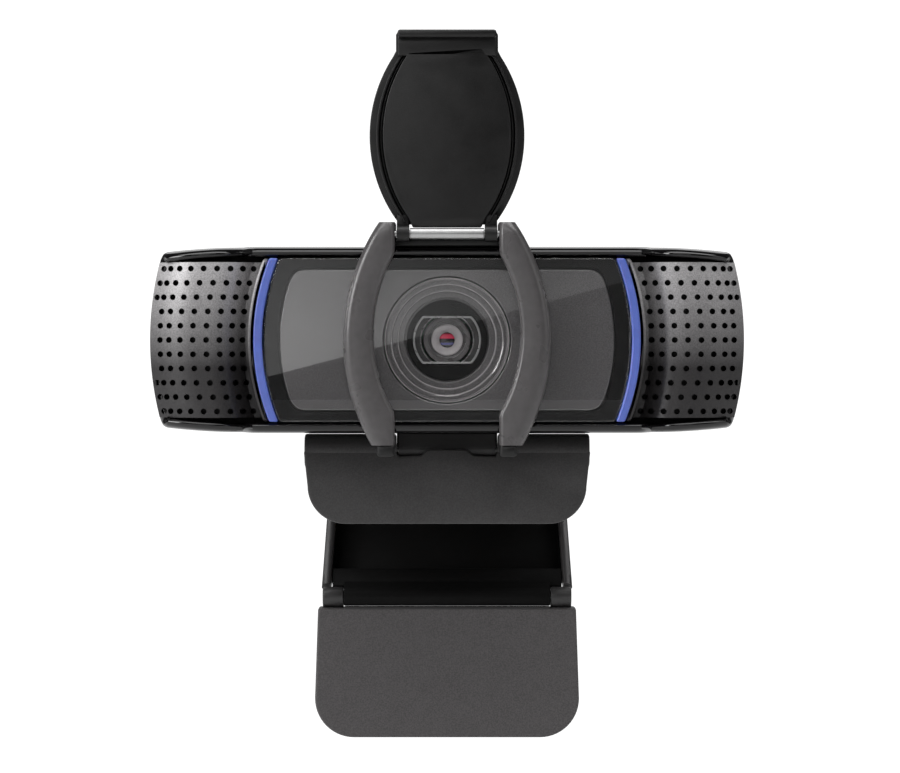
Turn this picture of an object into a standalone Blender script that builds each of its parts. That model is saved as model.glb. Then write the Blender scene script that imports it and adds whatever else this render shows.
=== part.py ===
"""Webcam with a flip-up privacy shutter on a folding monitor clip.

+Z is up and the camera looks along -Y. The origin is the centre of the seat
pad's underside, which rests on the monitor's top edge. Driving sizes are in
millimetres; MM turns them into metres.
"""

import math

import bmesh
import bpy
from mathutils import Matrix

MM = 0.001
GAP = 0.3
EXTRA = 1.0

# Camera head. "Forward" depths are distances in front of the origin, along -Y.
LENS_Z = 20.3
HEAD_HALF_WIDTH = 47.0
HEAD_HALF_HEIGHT = 14.6
HEAD_SIDE_RADIUS = 49.0
HEAD_CORNER = 2.2
HEAD_WALL = 1.5
BEZEL_FRONT = 37.7
HOUSING_SPLIT = 24.0
HEAD_BACK = 14.0
BACK_ROUNDING = 4.0
BACK_WALL = 1.8

WINDOW_FRONT = 38.0
WINDOW_THICKNESS = 1.0
WINDOW_HALF_WIDTH = 28.7
INNER_HALF_HEIGHT = HEAD_HALF_HEIGHT - HEAD_WALL - GAP
ARC_RADIUS = 34.0
GUIDE_WIDTH = 1.3
GUIDE_BACK = 33.9

PLATE_HALF_WIDTH = 26.15
PLATE_HALF_HEIGHT = 11.0
PLATE_SIDE_RADIUS = 28.0
PLATE_FRONT = 36.7
PLATE_THICKNESS = 0.7
HOOD_RADIUS = 9.7

# The wings' plan curve: a crest, a steep valley beside the light guide and a
# curve back to the outer side.
WING_CREST_X = 37.2
WING_CREST = 36.6
WING_VALLEY_X = 32.7
WING_INNER_CURVE = 0.128
WING_OUTER_CURVE = 0.055
GRILLE_THICKNESS = 1.2
CAP_PROUD = 0.3

# Tilt hinge between clip and head.
TILT_Y = -27.0
TILT_Z = 2.7
TILT_ROLL_RADIUS = 2.66
TILT_KNUCKLE_RADIUS = 1.7
TILT_KNUCKLE_HALF = 7.7
TILT_PIN_RADIUS = 0.6
TILT_PIN_HALF = 12.0

# Shutter: a clip-on frame with two curved arms, and a flap on a hinge rod.
FRAME_BACK = 38.3
FRAME_THICKNESS = 2.0
ARM_TOP = 18.4
ARM_BOTTOM = -18.2
ARM_INNER_HALF = 11.5
ARM_INNER_RADIUS = 25.0
ARM_INNER_CENTRE = 1.0
ARM_GAP_HALF = 8.15
ARM_OUTER_HALF = 16.2
ARM_OUTER_RADIUS = 33.2
FLAP_HINGE_FORWARD = 38.3
FLAP_HINGE_Z = LENS_Z + 16.6
FLAP_HALF_WIDTH = 12.15
FLAP_WIDEST = 15.4
FLAP_SIDE_RADIUS = 22.8
FLAP_NECK_HALF = 7.85
FLAP_LENGTH = 32.1
FLAP_RIM_INSET = 1.05
FLAP_RIM_FRONT = 0.3
FLAP_STEP = 2.5
FLAP_BACK = 3.4
FLAP_ROD_RADIUS = 0.9
FLAP_PIN_RADIUS = 0.5

# Monitor clip.
CLIP_HALF_WIDTH = 22.7
PLATE_TOP = 2.6
PLATE_BOTTOM = 1.1
SEAT_PAD_TOP = 0.8
LIP_FRONT = 29.7
LIP_BACK = 27.7
LIP_BOTTOM = -8.8
LIP_CORNER = 6.0
LEG_AXIS_Y = 29.8
LEG_AXIS_Z = -1.9
LEG_BARREL_RADIUS = 3.0
LEG_BARREL_HALF = 16.7
FOOT_AXIS_Y = 15.0
FOOT_AXIS_Z = -23.0
LEG_TOP_HALF = 20.15
LEG_BOTTOM_HALF = 21.4
LEG_FRONT = -0.9
LEG_REAR = 4.0
LEG_WALL = 1.5
FOOT_LUG_RADIUS = 1.6
FOOT_TOP_HALF = 21.8
FOOT_BOTTOM_HALF = 22.3
FOOT_TOP = -1.9
FOOT_BOTTOM = -23.8
FOOT_CORNER = 6.6
PIN_RADIUS = 0.7

for old in list(bpy.data.objects):
    bpy.data.objects.remove(old)
parts = bpy.data.collections.new("webcam")
cutters = bpy.data.collections.new("cutters")
bpy.context.scene.collection.children.link(parts)
bpy.context.scene.collection.children.link(cutters)
cutters.hide_render = True


def material(name, colour, roughness, metallic=0.0, transmission=0.0):
    made = bpy.data.materials.new(name)
    made.use_nodes = True
    made.diffuse_color = (*colour, 1.0)
    shader = made.node_tree.nodes["Principled BSDF"]
    shader.inputs["Base Color"].default_value = (*colour, 1.0)
    shader.inputs["Roughness"].default_value = roughness
    shader.inputs["Metallic"].default_value = metallic
    shader.inputs["Transmission Weight"].default_value = transmission
    return made


GLOSS_BLACK = material("gloss_black", (0.01, 0.01, 0.012), 0.08)
MATTE_BLACK = material("matte_black", (0.02, 0.02, 0.02), 0.55)
SOFT_GREY = material("soft_grey", (0.045, 0.043, 0.046), 0.7)
FRAME_GREY = material("frame_grey", (0.07, 0.07, 0.07), 0.45)
PLATE_GREY = material("plate_grey", (0.2, 0.2, 0.21), 0.35, 0.6)
GRILLE_GREY = material("grille_grey", (0.12, 0.12, 0.12), 0.5)
CLEAR = material("clear_window", (0.9, 0.9, 0.9), 0.03, 0.0, 1.0)
LENS_GLASS = material("lens_glass", (0.05, 0.03, 0.05), 0.03, 0.0, 0.8)
GUIDE_BLUE = material("guide_blue", (0.11, 0.15, 0.45), 0.3)
STEEL = material("bright_steel", (0.6, 0.6, 0.6), 0.25, 1.0)
BRASS = material("brass", (0.7, 0.5, 0.2), 0.3, 1.0)
RUBBER = material("rubber", (0.03, 0.03, 0.03), 0.85)
BOARD_GREEN = material("board_green", (0.02, 0.14, 0.06), 0.5)
CHIP_BLACK = material("chip_black", (0.015, 0.015, 0.015), 0.5)
LED_WHITE = material("led_white", (0.8, 0.8, 0.75), 0.4)


def empty(name, location):
    made = bpy.data.objects.new(name, None)
    made.location = [value * MM for value in location]
    made.empty_display_size = 5 * MM
    parts.objects.link(made)
    return made


def place(name, mesh, location, rotation, parent, look, collection=parts):
    """Link a mesh at a place given in world millimetres, whatever its parent."""
    made = bpy.data.objects.new(name, mesh)
    made.location = [value * MM for value in location]
    made.rotation_euler = rotation
    if parent is not None:
        made.parent = parent
        made.location -= parent.location
    if look is not None:
        made.data.materials.append(look)
    if collection is cutters:
        made.hide_render = True
        made.display_type = "WIRE"
    collection.objects.link(made)
    return made


def outline_mesh(name, outlines, thickness):
    """A flat 2D curve with its holes, extruded and centred, as a welded mesh."""
    curve = bpy.data.curves.new(name, "CURVE")
    curve.dimensions = "2D"
    curve.fill_mode = "BOTH"
    curve.extrude = thickness * MM / 2
    for outline in outlines:
        spline = curve.splines.new("POLY")
        spline.points.add(len(outline) - 1)
        spline.use_cyclic_u = True
        for point, (across, up) in zip(spline.points, outline):
            point.co = (across * MM, up * MM, 0, 1)
    source = bpy.data.objects.new(name, curve)
    parts.objects.link(source)
    bpy.context.view_layer.update()
    graph = bpy.context.evaluated_depsgraph_get()
    mesh = bpy.data.meshes.new_from_object(source.evaluated_get(graph))
    bpy.data.objects.remove(source)
    shape = bmesh.new()
    shape.from_mesh(mesh)
    bmesh.ops.remove_doubles(shape, verts=shape.verts, dist=0.01 * MM)
    bmesh.ops.dissolve_limit(
        shape, angle_limit=math.radians(0.5), verts=shape.verts, edges=shape.edges
    )
    bmesh.ops.recalc_face_normals(shape, faces=shape.faces)
    shape.to_mesh(mesh)
    shape.free()
    mesh.name = name
    return mesh


def front_prism(name, outlines, front, back, look, parent=None, collection=parts):
    """Outlines in X and Z, extruded between two forward depths."""
    mesh = outline_mesh(name, outlines, front - back)
    middle = -(front + back) / 2
    return place(
        name, mesh, (0, middle, 0), (math.pi / 2, 0, 0), parent, look, collection
    )


def plan_prism(name, outlines, bottom, top, look, parent=None, collection=parts):
    """Outlines in X and Y, extruded in Z."""
    mesh = outline_mesh(name, outlines, top - bottom)
    return place(
        name, mesh, (0, 0, (top + bottom) / 2), (0, 0, 0), parent, look, collection
    )


def side_prism(name, outlines, left, right, origin, turn, look, parent, collection=parts):
    """Outlines in Y and Z about an axis point, extruded along X and turned about it."""
    mesh = outline_mesh(name, outlines, right - left)
    spin = Matrix.Rotation(math.pi / 2, 4, "Z") @ Matrix.Rotation(math.pi / 2, 4, "X")
    mesh.transform(Matrix.Translation(((left + right) / 2 * MM, 0, 0)) @ spin)
    return place(name, mesh, (0, *origin), (turn, 0, 0), parent, look, collection)


def box(name, low, high, look, parent=None, collection=parts, turn=0.0, origin=(0, 0, 0)):
    """A box between two corners, given from an origin it is turned about."""
    mesh = bpy.data.meshes.new(name)
    shape = bmesh.new()
    bmesh.ops.create_cube(shape, size=1.0)
    for vert in shape.verts:
        for axis in range(3):
            middle = (low[axis] + high[axis]) / 2
            span = high[axis] - low[axis]
            vert.co[axis] = (middle + vert.co[axis] * span) * MM
    shape.to_mesh(mesh)
    shape.free()
    return place(name, mesh, origin, (turn, 0, 0), parent, look, collection)


def turned(name, profile, centre, rotation, look, parent=None, steps=32, collection=parts):
    """A profile of (radius, height) points, outer side running down, turned about Z."""
    mesh = bpy.data.meshes.new(name)
    shape = bmesh.new()
    verts = [shape.verts.new((radius * MM, 0, height * MM)) for radius, height in profile]
    for first, second in zip(verts, verts[1:]):
        shape.edges.new((first, second))
    if min(radius for radius, height in profile) > 0:
        shape.edges.new((verts[-1], verts[0]))
    shape.to_mesh(mesh)
    shape.free()
    made = place(name, mesh, centre, rotation, parent, look, collection)
    screw = made.modifiers.new("turn", "SCREW")
    screw.steps = steps
    screw.render_steps = steps
    screw.use_merge_vertices = True
    screw.merge_threshold = 0.00001
    return made


def forward_turned(name, profile, look, parent, x=0.0, z=LENS_Z, steps=32):
    """Turned about a line along Y; heights in the profile are forward depths."""
    return turned(name, profile, (x, 0, z), (math.pi / 2, 0, 0), look, parent, steps)


def rod(name, radius, left, right, centre, look, parent=None, collection=parts, steps=24):
    """A round rod along X between two X places, through a (y, z) centre."""
    profile = [(0, right), (radius, right), (radius, left), (0, left)]
    return turned(
        name, profile, (0, *centre), (0, math.pi / 2, 0), look, parent, steps, collection
    )


def combine(target, other, operation):
    modifier = target.modifiers.new(other.name, "BOOLEAN")
    modifier.operation = operation
    modifier.object = other


def cut(target, *tools):
    for tool in tools:
        combine(target, tool, "DIFFERENCE")


def join(target, *pieces):
    for piece in pieces:
        combine(target, piece, "UNION")


def side_reach(half_width, radius, up, centre=0.0):
    """Half width at height up of an outline whose side is an arc bulging outwards."""
    return half_width - radius + math.sqrt(radius**2 - (up - centre) ** 2)


def bowed_outline(half_width, half_height, radius, corner, lift=LENS_Z, steps=10):
    """A flat-topped outline with arcs for sides and rounded corners."""
    reach = half_height - corner
    right = []
    for step in range(steps + 1):
        up = -reach + 2 * reach * step / steps
        right.append((side_reach(half_width, radius, up), up))
    start = right[-1]
    tip = (side_reach(half_width, radius, half_height), half_height)
    end = (tip[0] - corner, half_height)
    for step in range(1, 4):
        t = step / 3
        right.append(
            tuple(
                (1 - t) ** 2 * start[axis] + 2 * t * (1 - t) * tip[axis] + t**2 * end[axis]
                for axis in range(2)
            )
        )
    right = [(x, -up) for x, up in reversed(right[steps + 1 :])] + right
    left = [(-x, up) for x, up in reversed(right)]
    return [(x, up + lift) for x, up in right + left]


def circle(radius, centre=(0.0, 0.0), steps=32, flat=None):
    """A circle, cut off flat above and below its centre when flat is given."""
    points = []
    for step in range(steps):
        angle = 2 * math.pi * (step + 0.5) / steps
        up = radius * math.sin(angle)
        if flat is not None:
            up = max(-flat, min(flat, up))
        points.append((centre[0] + radius * math.cos(angle), centre[1] + up))
    return points


def hull(points):
    """The convex outline around a set of points, counterclockwise."""

    def chain(ordered):
        kept = []
        for point in ordered:
            while len(kept) > 1:
                (ax, ay), (bx, by) = kept[-2:]
                if (bx - ax) * (point[1] - ay) - (by - ay) * (point[0] - ax) > 0:
                    break
                kept.pop()
            kept.append(point)
        return kept[:-1]

    ordered = sorted(points)
    return chain(ordered) + chain(ordered[::-1])


def rectangle(low, high):
    return [low, (high[0], low[1]), high, (low[0], high[1])]


def wing_depth(x):
    """Forward depth of a wing's curved front at a distance x from the middle."""
    curve = WING_OUTER_CURVE if x > WING_CREST_X else WING_INNER_CURVE
    return WING_CREST - curve * (x - WING_CREST_X) ** 2


def wing_curve(first, last, shift, steps=12):
    """Points of the wing's front from x first to x last, moved forward by shift."""
    stretch = [first + (last - first) * step / steps for step in range(steps + 1)]
    return [(x, -(wing_depth(x) + shift)) for x in stretch]


def side_band(inner, outer, half_height, radius, side):
    """A strip between two arcs that bow outwards, on one side of the head."""
    ups = [-half_height + 2 * half_height * step / 12 for step in range(13)]
    far = [(side * side_reach(outer, radius, up), up + LENS_Z) for up in ups]
    near = [(side * side_reach(inner, radius, up), up + LENS_Z) for up in reversed(ups)]
    return far + near


def wing_outline(side):
    """A grille's outline: an arc beside the light guide, another along the outer side."""
    ups = [-INNER_HALF_HEIGHT + 2 * INNER_HALF_HEIGHT * step / 12 for step in range(13)]
    outer = HEAD_HALF_WIDTH - HEAD_WALL - GAP
    inner = WINDOW_HALF_WIDTH + GUIDE_WIDTH + 2 * GAP
    far = [(side * side_reach(outer, HEAD_SIDE_RADIUS, up), up + LENS_Z) for up in ups]
    near = [(side * side_reach(inner, ARC_RADIUS, up), up + LENS_Z) for up in reversed(ups)]
    return far + near


head = empty("head_axis", (0, TILT_Y, TILT_Z))


def make_housings():
    outer = bowed_outline(HEAD_HALF_WIDTH, HEAD_HALF_HEIGHT, HEAD_SIDE_RADIUS, HEAD_CORNER)
    inner = bowed_outline(
        HEAD_HALF_WIDTH - HEAD_WALL, HEAD_HALF_HEIGHT - HEAD_WALL, HEAD_SIDE_RADIUS, 1.0
    )
    front = front_prism(
        "front_bezel", [outer, inner], BEZEL_FRONT, HOUSING_SPLIT + GAP, GLOSS_BLACK, head
    )
    middle = WINDOW_HALF_WIDTH + GUIDE_WIDTH + GAP
    wing = wing_curve(WING_VALLEY_X, HEAD_HALF_WIDTH + EXTRA, CAP_PROUD)
    cap = [(middle, -BEZEL_FRONT), *wing, (HEAD_HALF_WIDTH + EXTRA, 0.0)]
    envelope = plan_prism(
        "bezel_envelope",
        [[(-x, y) for x, y in reversed(cap)] + cap],
        0.0,
        2 * LENS_Z,
        None,
        None,
        cutters,
    )
    combine(front, envelope, "INTERSECT")

    rear = front_prism(
        "rear_casing", [outer], HOUSING_SPLIT + 2 * BACK_ROUNDING, HEAD_BACK, MATTE_BLACK, head
    )
    rounding = rear.modifiers.new("rounded_back", "BEVEL")
    rounding.width = BACK_ROUNDING * MM
    rounding.segments = 3
    rounding.limit_method = "ANGLE"
    rounding.angle_limit = math.radians(50)
    front_end = box(
        "rear_casing_end",
        (-60, -60, 0),
        (60, -HOUSING_SPLIT, 50),
        None,
        None,
        cutters,
    )
    hollow_outline = bowed_outline(
        HEAD_HALF_WIDTH - 2.2, HEAD_HALF_HEIGHT - 2.2, HEAD_SIDE_RADIUS, 2.0
    )
    hollow = front_prism(
        "rear_casing_hollow",
        [hollow_outline],
        HOUSING_SPLIT + EXTRA,
        HEAD_BACK + BACK_WALL,
        None,
        None,
        cutters,
    )
    cut(rear, front_end, hollow)


def make_front():
    window = bowed_outline(WINDOW_HALF_WIDTH, INNER_HALF_HEIGHT, ARC_RADIUS, 0.6)
    front_prism(
        "front_window", [window], WINDOW_FRONT, WINDOW_FRONT - WINDOW_THICKNESS, CLEAR, head
    )
    plate = bowed_outline(PLATE_HALF_WIDTH, PLATE_HALF_HEIGHT, PLATE_SIDE_RADIUS, 1.8)
    plate_hole = circle(HOOD_RADIUS + GAP, (0, LENS_Z), 40)
    plate_back = PLATE_FRONT - PLATE_THICKNESS
    front_prism("face_plate", [plate, plate_hole], PLATE_FRONT, plate_back, PLATE_GREY, head)
    border_hole = bowed_outline(
        PLATE_HALF_WIDTH + GAP, PLATE_HALF_HEIGHT + GAP, PLATE_SIDE_RADIUS, 1.9
    )
    front_prism(
        "window_border", [window, border_hole], PLATE_FRONT, plate_back, GLOSS_BLACK, head
    )
    frame = bowed_outline(WINDOW_HALF_WIDTH, INNER_HALF_HEIGHT, ARC_RADIUS, 0.6)
    opening = rectangle((-20, LENS_Z - 10.2), (20, LENS_Z + 10.2))
    front_prism("inner_frame", [frame, opening], plate_back - GAP, 33.0, MATTE_BLACK, head)
    for side, word in ((-1, "left"), (1, "right")):
        guide = side_band(
            WINDOW_HALF_WIDTH + GAP,
            WINDOW_HALF_WIDTH + GAP + GUIDE_WIDTH,
            INNER_HALF_HEIGHT,
            ARC_RADIUS,
            side,
        )
        front_prism(
            f"{word}_light_guide", [guide], WINDOW_FRONT - 0.1, GUIDE_BACK, GUIDE_BLUE, head
        )
        board_x = side * 29.0
        box(
            f"{word}_led_board",
            (board_x - 1.2, -32.1, LENS_Z - 8),
            (board_x + 1.2, -31.3, LENS_Z + 8),
            BOARD_GREEN,
            head,
        )
        box(
            f"{word}_led",
            (board_x - 0.8, -32.9, LENS_Z - 0.8),
            (board_x + 0.8, -32.4, LENS_Z + 0.8),
            LED_WHITE,
            head,
        )
        grille = front_prism(f"{word}_grille", [wing_outline(side)], 38, 28, GRILLE_GREY, head)
        start = WINDOW_HALF_WIDTH - 4
        end = HEAD_HALF_WIDTH + EXTRA
        skin = wing_curve(start, end, 0.0, 18)
        back = [(x, y + GRILLE_THICKNESS) for x, y in reversed(skin)]
        sheet = plan_prism(
            f"{word}_grille_sheet",
            [[(side * x, y) for x, y in skin + back]],
            0.0,
            2 * LENS_Z,
            None,
            None,
            cutters,
        )
        combine(grille, sheet, "INTERSECT")


def make_optics():
    hood = [(HOOD_RADIUS, 36.6), (HOOD_RADIUS, 33.4), (5.9, 33.4), (5.9, 33.9)]
    hood += [(6.6, 33.9), (6.6, 35.4), (7.7, 35.5), (7.7, 35.9), (8.7, 36.0), (8.7, 36.4)]
    forward_turned("lens_hood", hood, GLOSS_BLACK, head, steps=40)
    mask_hole = circle(5.4, (0, LENS_Z), 32, 3.8)
    mask = circle(6.3, (0, LENS_Z), 32)
    front_prism("aperture_mask", [mask, mask_hole], 34.8, 34.3, MATTE_BLACK, head)

    barrel = [(3.75, 33.6), (3.75, 26.6), (2.2, 26.6), (2.2, 31.0), (2.9, 31.0), (2.9, 33.6)]
    forward_turned("lens_barrel", barrel, MATTE_BLACK, focus)
    retainer = [(2.5, 33.5), (2.5, 32.9), (1.3, 32.9), (1.3, 33.1)]
    forward_turned("lens_retaining_ring", retainer, STEEL, focus)
    glass = [(0, 32.5), (1.2, 32.4), (2.2, 32.0), (2.5, 31.7), (2.5, 31.3), (0, 31.3)]
    forward_turned("front_lens_element", glass, LENS_GLASS, focus)

    coil = rectangle((-4.8, LENS_Z - 4.8), (4.8, LENS_Z + 4.8))
    bore = circle(4.1, (0, LENS_Z), 32)
    front_prism("focus_coil_housing", [coil, bore], 32.8, 28.8, STEEL, head)
    mount_hole = rectangle((-4.1, LENS_Z - 4.1), (4.1, LENS_Z + 4.1))
    front_prism("lens_mount_base", [coil, mount_hole], 28.5, 25.1, MATTE_BLACK, head)
    box("image_sensor", (-3.0, -26.1, LENS_Z - 2.5), (3.0, -25.1, LENS_Z + 2.5), CHIP_BLACK, head)
    box("main_circuit_board", (-27, -24.8, LENS_Z - 10), (27, -23.8, LENS_Z + 10), BOARD_GREEN, head)
    box("image_processor", (-3.5, -23.5, LENS_Z - 3.5), (3.5, -22.6, LENS_Z + 3.5), CHIP_BLACK, head)


def make_microphones_and_fasteners():
    for side, word in ((-1, "left"), (1, "right")):
        capsule = [(0, 31.8), (2.0, 31.8), (2.0, 29.6), (0, 29.6)]
        forward_turned(f"{word}_microphone", capsule, STEEL, head, side * 38.0, steps=20)
        boot = [(3.1, 32.8), (3.1, 29.3), (2.3, 29.3), (2.3, 32.1), (1.2, 32.1), (1.2, 32.8)]
        forward_turned(f"{word}_microphone_boot", boot, RUBBER, head, side * 38.0, steps=20)
    places = [(x, up) for up in (6.5, -6.5) for x in (-38.0, 38.0)]
    for number, (x, up) in enumerate(places, 1):
        screw = [(0, 28.5), (0.8, 28.5), (0.8, 17.6), (1.7, 17.6), (1.7, 16.2), (0, 16.2)]
        forward_turned(f"housing_screw_{number}", screw, STEEL, head, x, LENS_Z + up, 12)
    gland = [(2.6, 13.6), (2.6, 11.6), (1.5, 11.6), (1.5, 13.6)]
    forward_turned("cable_gland", gland, RUBBER, head, 0.0, LENS_Z - 6.0, 20)


def make_tilt():
    neck = hull([*circle(TILT_KNUCKLE_RADIUS, steps=24), (-0.8, 2.7), (1.7, 2.7)])
    knuckle = side_prism(
        "tilt_knuckle",
        [neck],
        -TILT_KNUCKLE_HALF,
        TILT_KNUCKLE_HALF,
        (TILT_Y, TILT_Z),
        0.0,
        MATTE_BLACK,
        head,
    )
    hole = rod(
        "tilt_knuckle_hole",
        TILT_PIN_RADIUS + GAP,
        -20,
        20,
        (TILT_Y, TILT_Z),
        None,
        None,
        cutters,
    )
    cut(knuckle, hole)
    rod("tilt_hinge_pin", TILT_PIN_RADIUS, -TILT_PIN_HALF, TILT_PIN_HALF, (TILT_Y, TILT_Z), STEEL)
    return hole


def arm_outline(side):
    """One shutter arm: an inner edge that bows outwards between straight ends."""
    steps = 16
    ups = [ARM_BOTTOM + (ARM_TOP - ARM_BOTTOM) * step / steps for step in range(steps + 1)]
    inner = []
    outer = []
    for up in ups:
        gap = side_reach(ARM_INNER_HALF, ARM_INNER_RADIUS, up, ARM_INNER_CENTRE)
        inner.append((side * max(gap, ARM_GAP_HALF), up + LENS_Z))
        edge = side_reach(ARM_OUTER_HALF, ARM_OUTER_RADIUS, up)
        outer.append((side * edge, up + LENS_Z))
    return outer + inner[::-1]


def make_shutter_frame():
    front = FRAME_BACK + FRAME_THICKNESS
    frame = front_prism("shutter_frame", [arm_outline(1)], front, FRAME_BACK, FRAME_GREY, head)
    other = front_prism(
        "left_arm", [arm_outline(-1)], front, FRAME_BACK, None, None, cutters
    )
    pieces = [other]
    top = LENS_Z + HEAD_HALF_HEIGHT + GAP
    bottom = LENS_Z - HEAD_HALF_HEIGHT - GAP
    bridge_low = (-10.6, -FLAP_HINGE_FORWARD + 1.7, top + 0.1)
    pieces.append(box("bridge", bridge_low, (10.6, -30, top + 1.2), None, None, cutters))
    for side in (-1, 1):
        near = side * ARM_GAP_HALF
        far = side * 10.8
        low_x, high_x = sorted((near, far))
        lug_top = LENS_Z + ARM_TOP
        pieces.append(
            box(f"lug{side}", (low_x, -front, top), (high_x, -35.5, lug_top), None, None, cutters)
        )
        pieces.append(
            box(
                f"hook{side}",
                (low_x, -FRAME_BACK - 0.5, bottom - 1.1),
                (high_x, -34.0, bottom),
                None,
                None,
                cutters,
            )
        )
    join(frame, *pieces)
    hole = rod(
        "shutter_pin_hole",
        FLAP_PIN_RADIUS + GAP,
        -10.2,
        10.2,
        (-FLAP_HINGE_FORWARD, FLAP_HINGE_Z),
        None,
        None,
        cutters,
    )
    cut(frame, hole)
    pin = FLAP_PIN_RADIUS
    profile = [(0, 9.6), (pin, 9.6), (pin, 5.3), (FLAP_ROD_RADIUS, 5.3)]
    profile += [(FLAP_ROD_RADIUS, -5.3), (pin, -5.3), (pin, -9.6), (0, -9.6)]
    centre = (0, -FLAP_HINGE_FORWARD, FLAP_HINGE_Z)
    turned("shutter_hinge_rod", profile, centre, (0, math.pi / 2, 0), STEEL, head, 20)
    return hole


def flap_outline(inset, bottom, top):
    """The flap's outline above its hinge, with a neck, bowed sides and a top tab."""
    steps = 14
    right = []
    for step in range(steps + 1):
        up = bottom + (top - bottom) * step / steps
        bow = side_reach(FLAP_HALF_WIDTH, FLAP_SIDE_RADIUS, min(up, 28.5), FLAP_WIDEST)
        right.append((max(bow, FLAP_NECK_HALF) - inset, up + FLAP_HINGE_Z))
    return right + [(-x, up) for x, up in reversed(right)]


def make_shutter_flap(pin_hole):
    back = FLAP_HINGE_FORWARD - FLAP_BACK
    step = FLAP_HINGE_FORWARD - FLAP_STEP
    rim = FLAP_HINGE_FORWARD - FLAP_RIM_FRONT
    base = FLAP_ROD_RADIUS + 2 * GAP
    look = flap_outline(0.0, base, FLAP_LENGTH)
    body = front_prism("shutter_flap", [look], step, back, MATTE_BLACK, flap)
    ring_low = base + 0.3
    raised = front_prism(
        "flap_rim", [flap_outline(FLAP_RIM_INSET, ring_low, 28.6)], rim, step - 0.4, None, None, cutters
    )
    recess = front_prism(
        "flap_recess", [flap_outline(3.2, 3.6, 26.6)], rim + EXTRA, rim - 1.2, None, None, cutters
    )
    lip = box(
        "flap_tab",
        (-7.6, -FLAP_HINGE_FORWARD - 0.6, FLAP_HINGE_Z + FLAP_LENGTH - 1.5),
        (7.6, -step + 0.4, FLAP_HINGE_Z + FLAP_LENGTH - 0.2),
        None,
        None,
        cutters,
    )
    join(body, raised)
    cut(body, recess)
    pieces = [lip]
    for side in (-1, 1):
        low_x, high_x = sorted((side * 5.9, side * FLAP_NECK_HALF))
        hub = rod(
            f"flap_hub{side}",
            1.3,
            low_x,
            high_x,
            (-FLAP_HINGE_FORWARD, FLAP_HINGE_Z),
            None,
            None,
            cutters,
        )
        web = box(
            f"flap_web{side}",
            (low_x, -FLAP_HINGE_FORWARD + 0.2, FLAP_HINGE_Z + 0.1),
            (high_x, -FLAP_HINGE_FORWARD + FLAP_STEP + 0.4, FLAP_HINGE_Z + 3.0),
            None,
            None,
            cutters,
        )
        pieces += [hub, web]
    join(body, *pieces)
    cut(body, pin_hole)


focus = empty("focus_axis", (0, -33.6, LENS_Z))
flap = empty("flap_axis", (0, -FLAP_HINGE_FORWARD, FLAP_HINGE_Z))
leg_spin = math.atan2(FOOT_AXIS_Y - LEG_AXIS_Y, LEG_AXIS_Z - FOOT_AXIS_Z)
LEG_LENGTH = math.hypot(LEG_AXIS_Y - FOOT_AXIS_Y, LEG_AXIS_Z - FOOT_AXIS_Z)
leg = empty("leg_axis", (0, LEG_AXIS_Y, LEG_AXIS_Z))
foot = empty("foot_axis", (0, FOOT_AXIS_Y, FOOT_AXIS_Z))


def skirt_outline(top_half, bottom_half, top, bottom, corner):
    """An outline with a straight top and two rounded bottom corners."""
    right = [(top_half, top)]
    for step in range(7):
        angle = math.pi / 2 * step / 6
        across = bottom_half - corner + corner * math.cos(angle)
        right.append((across, bottom + corner - corner * math.sin(angle)))
    return right + [(-x, up) for x, up in reversed(right)]


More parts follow.
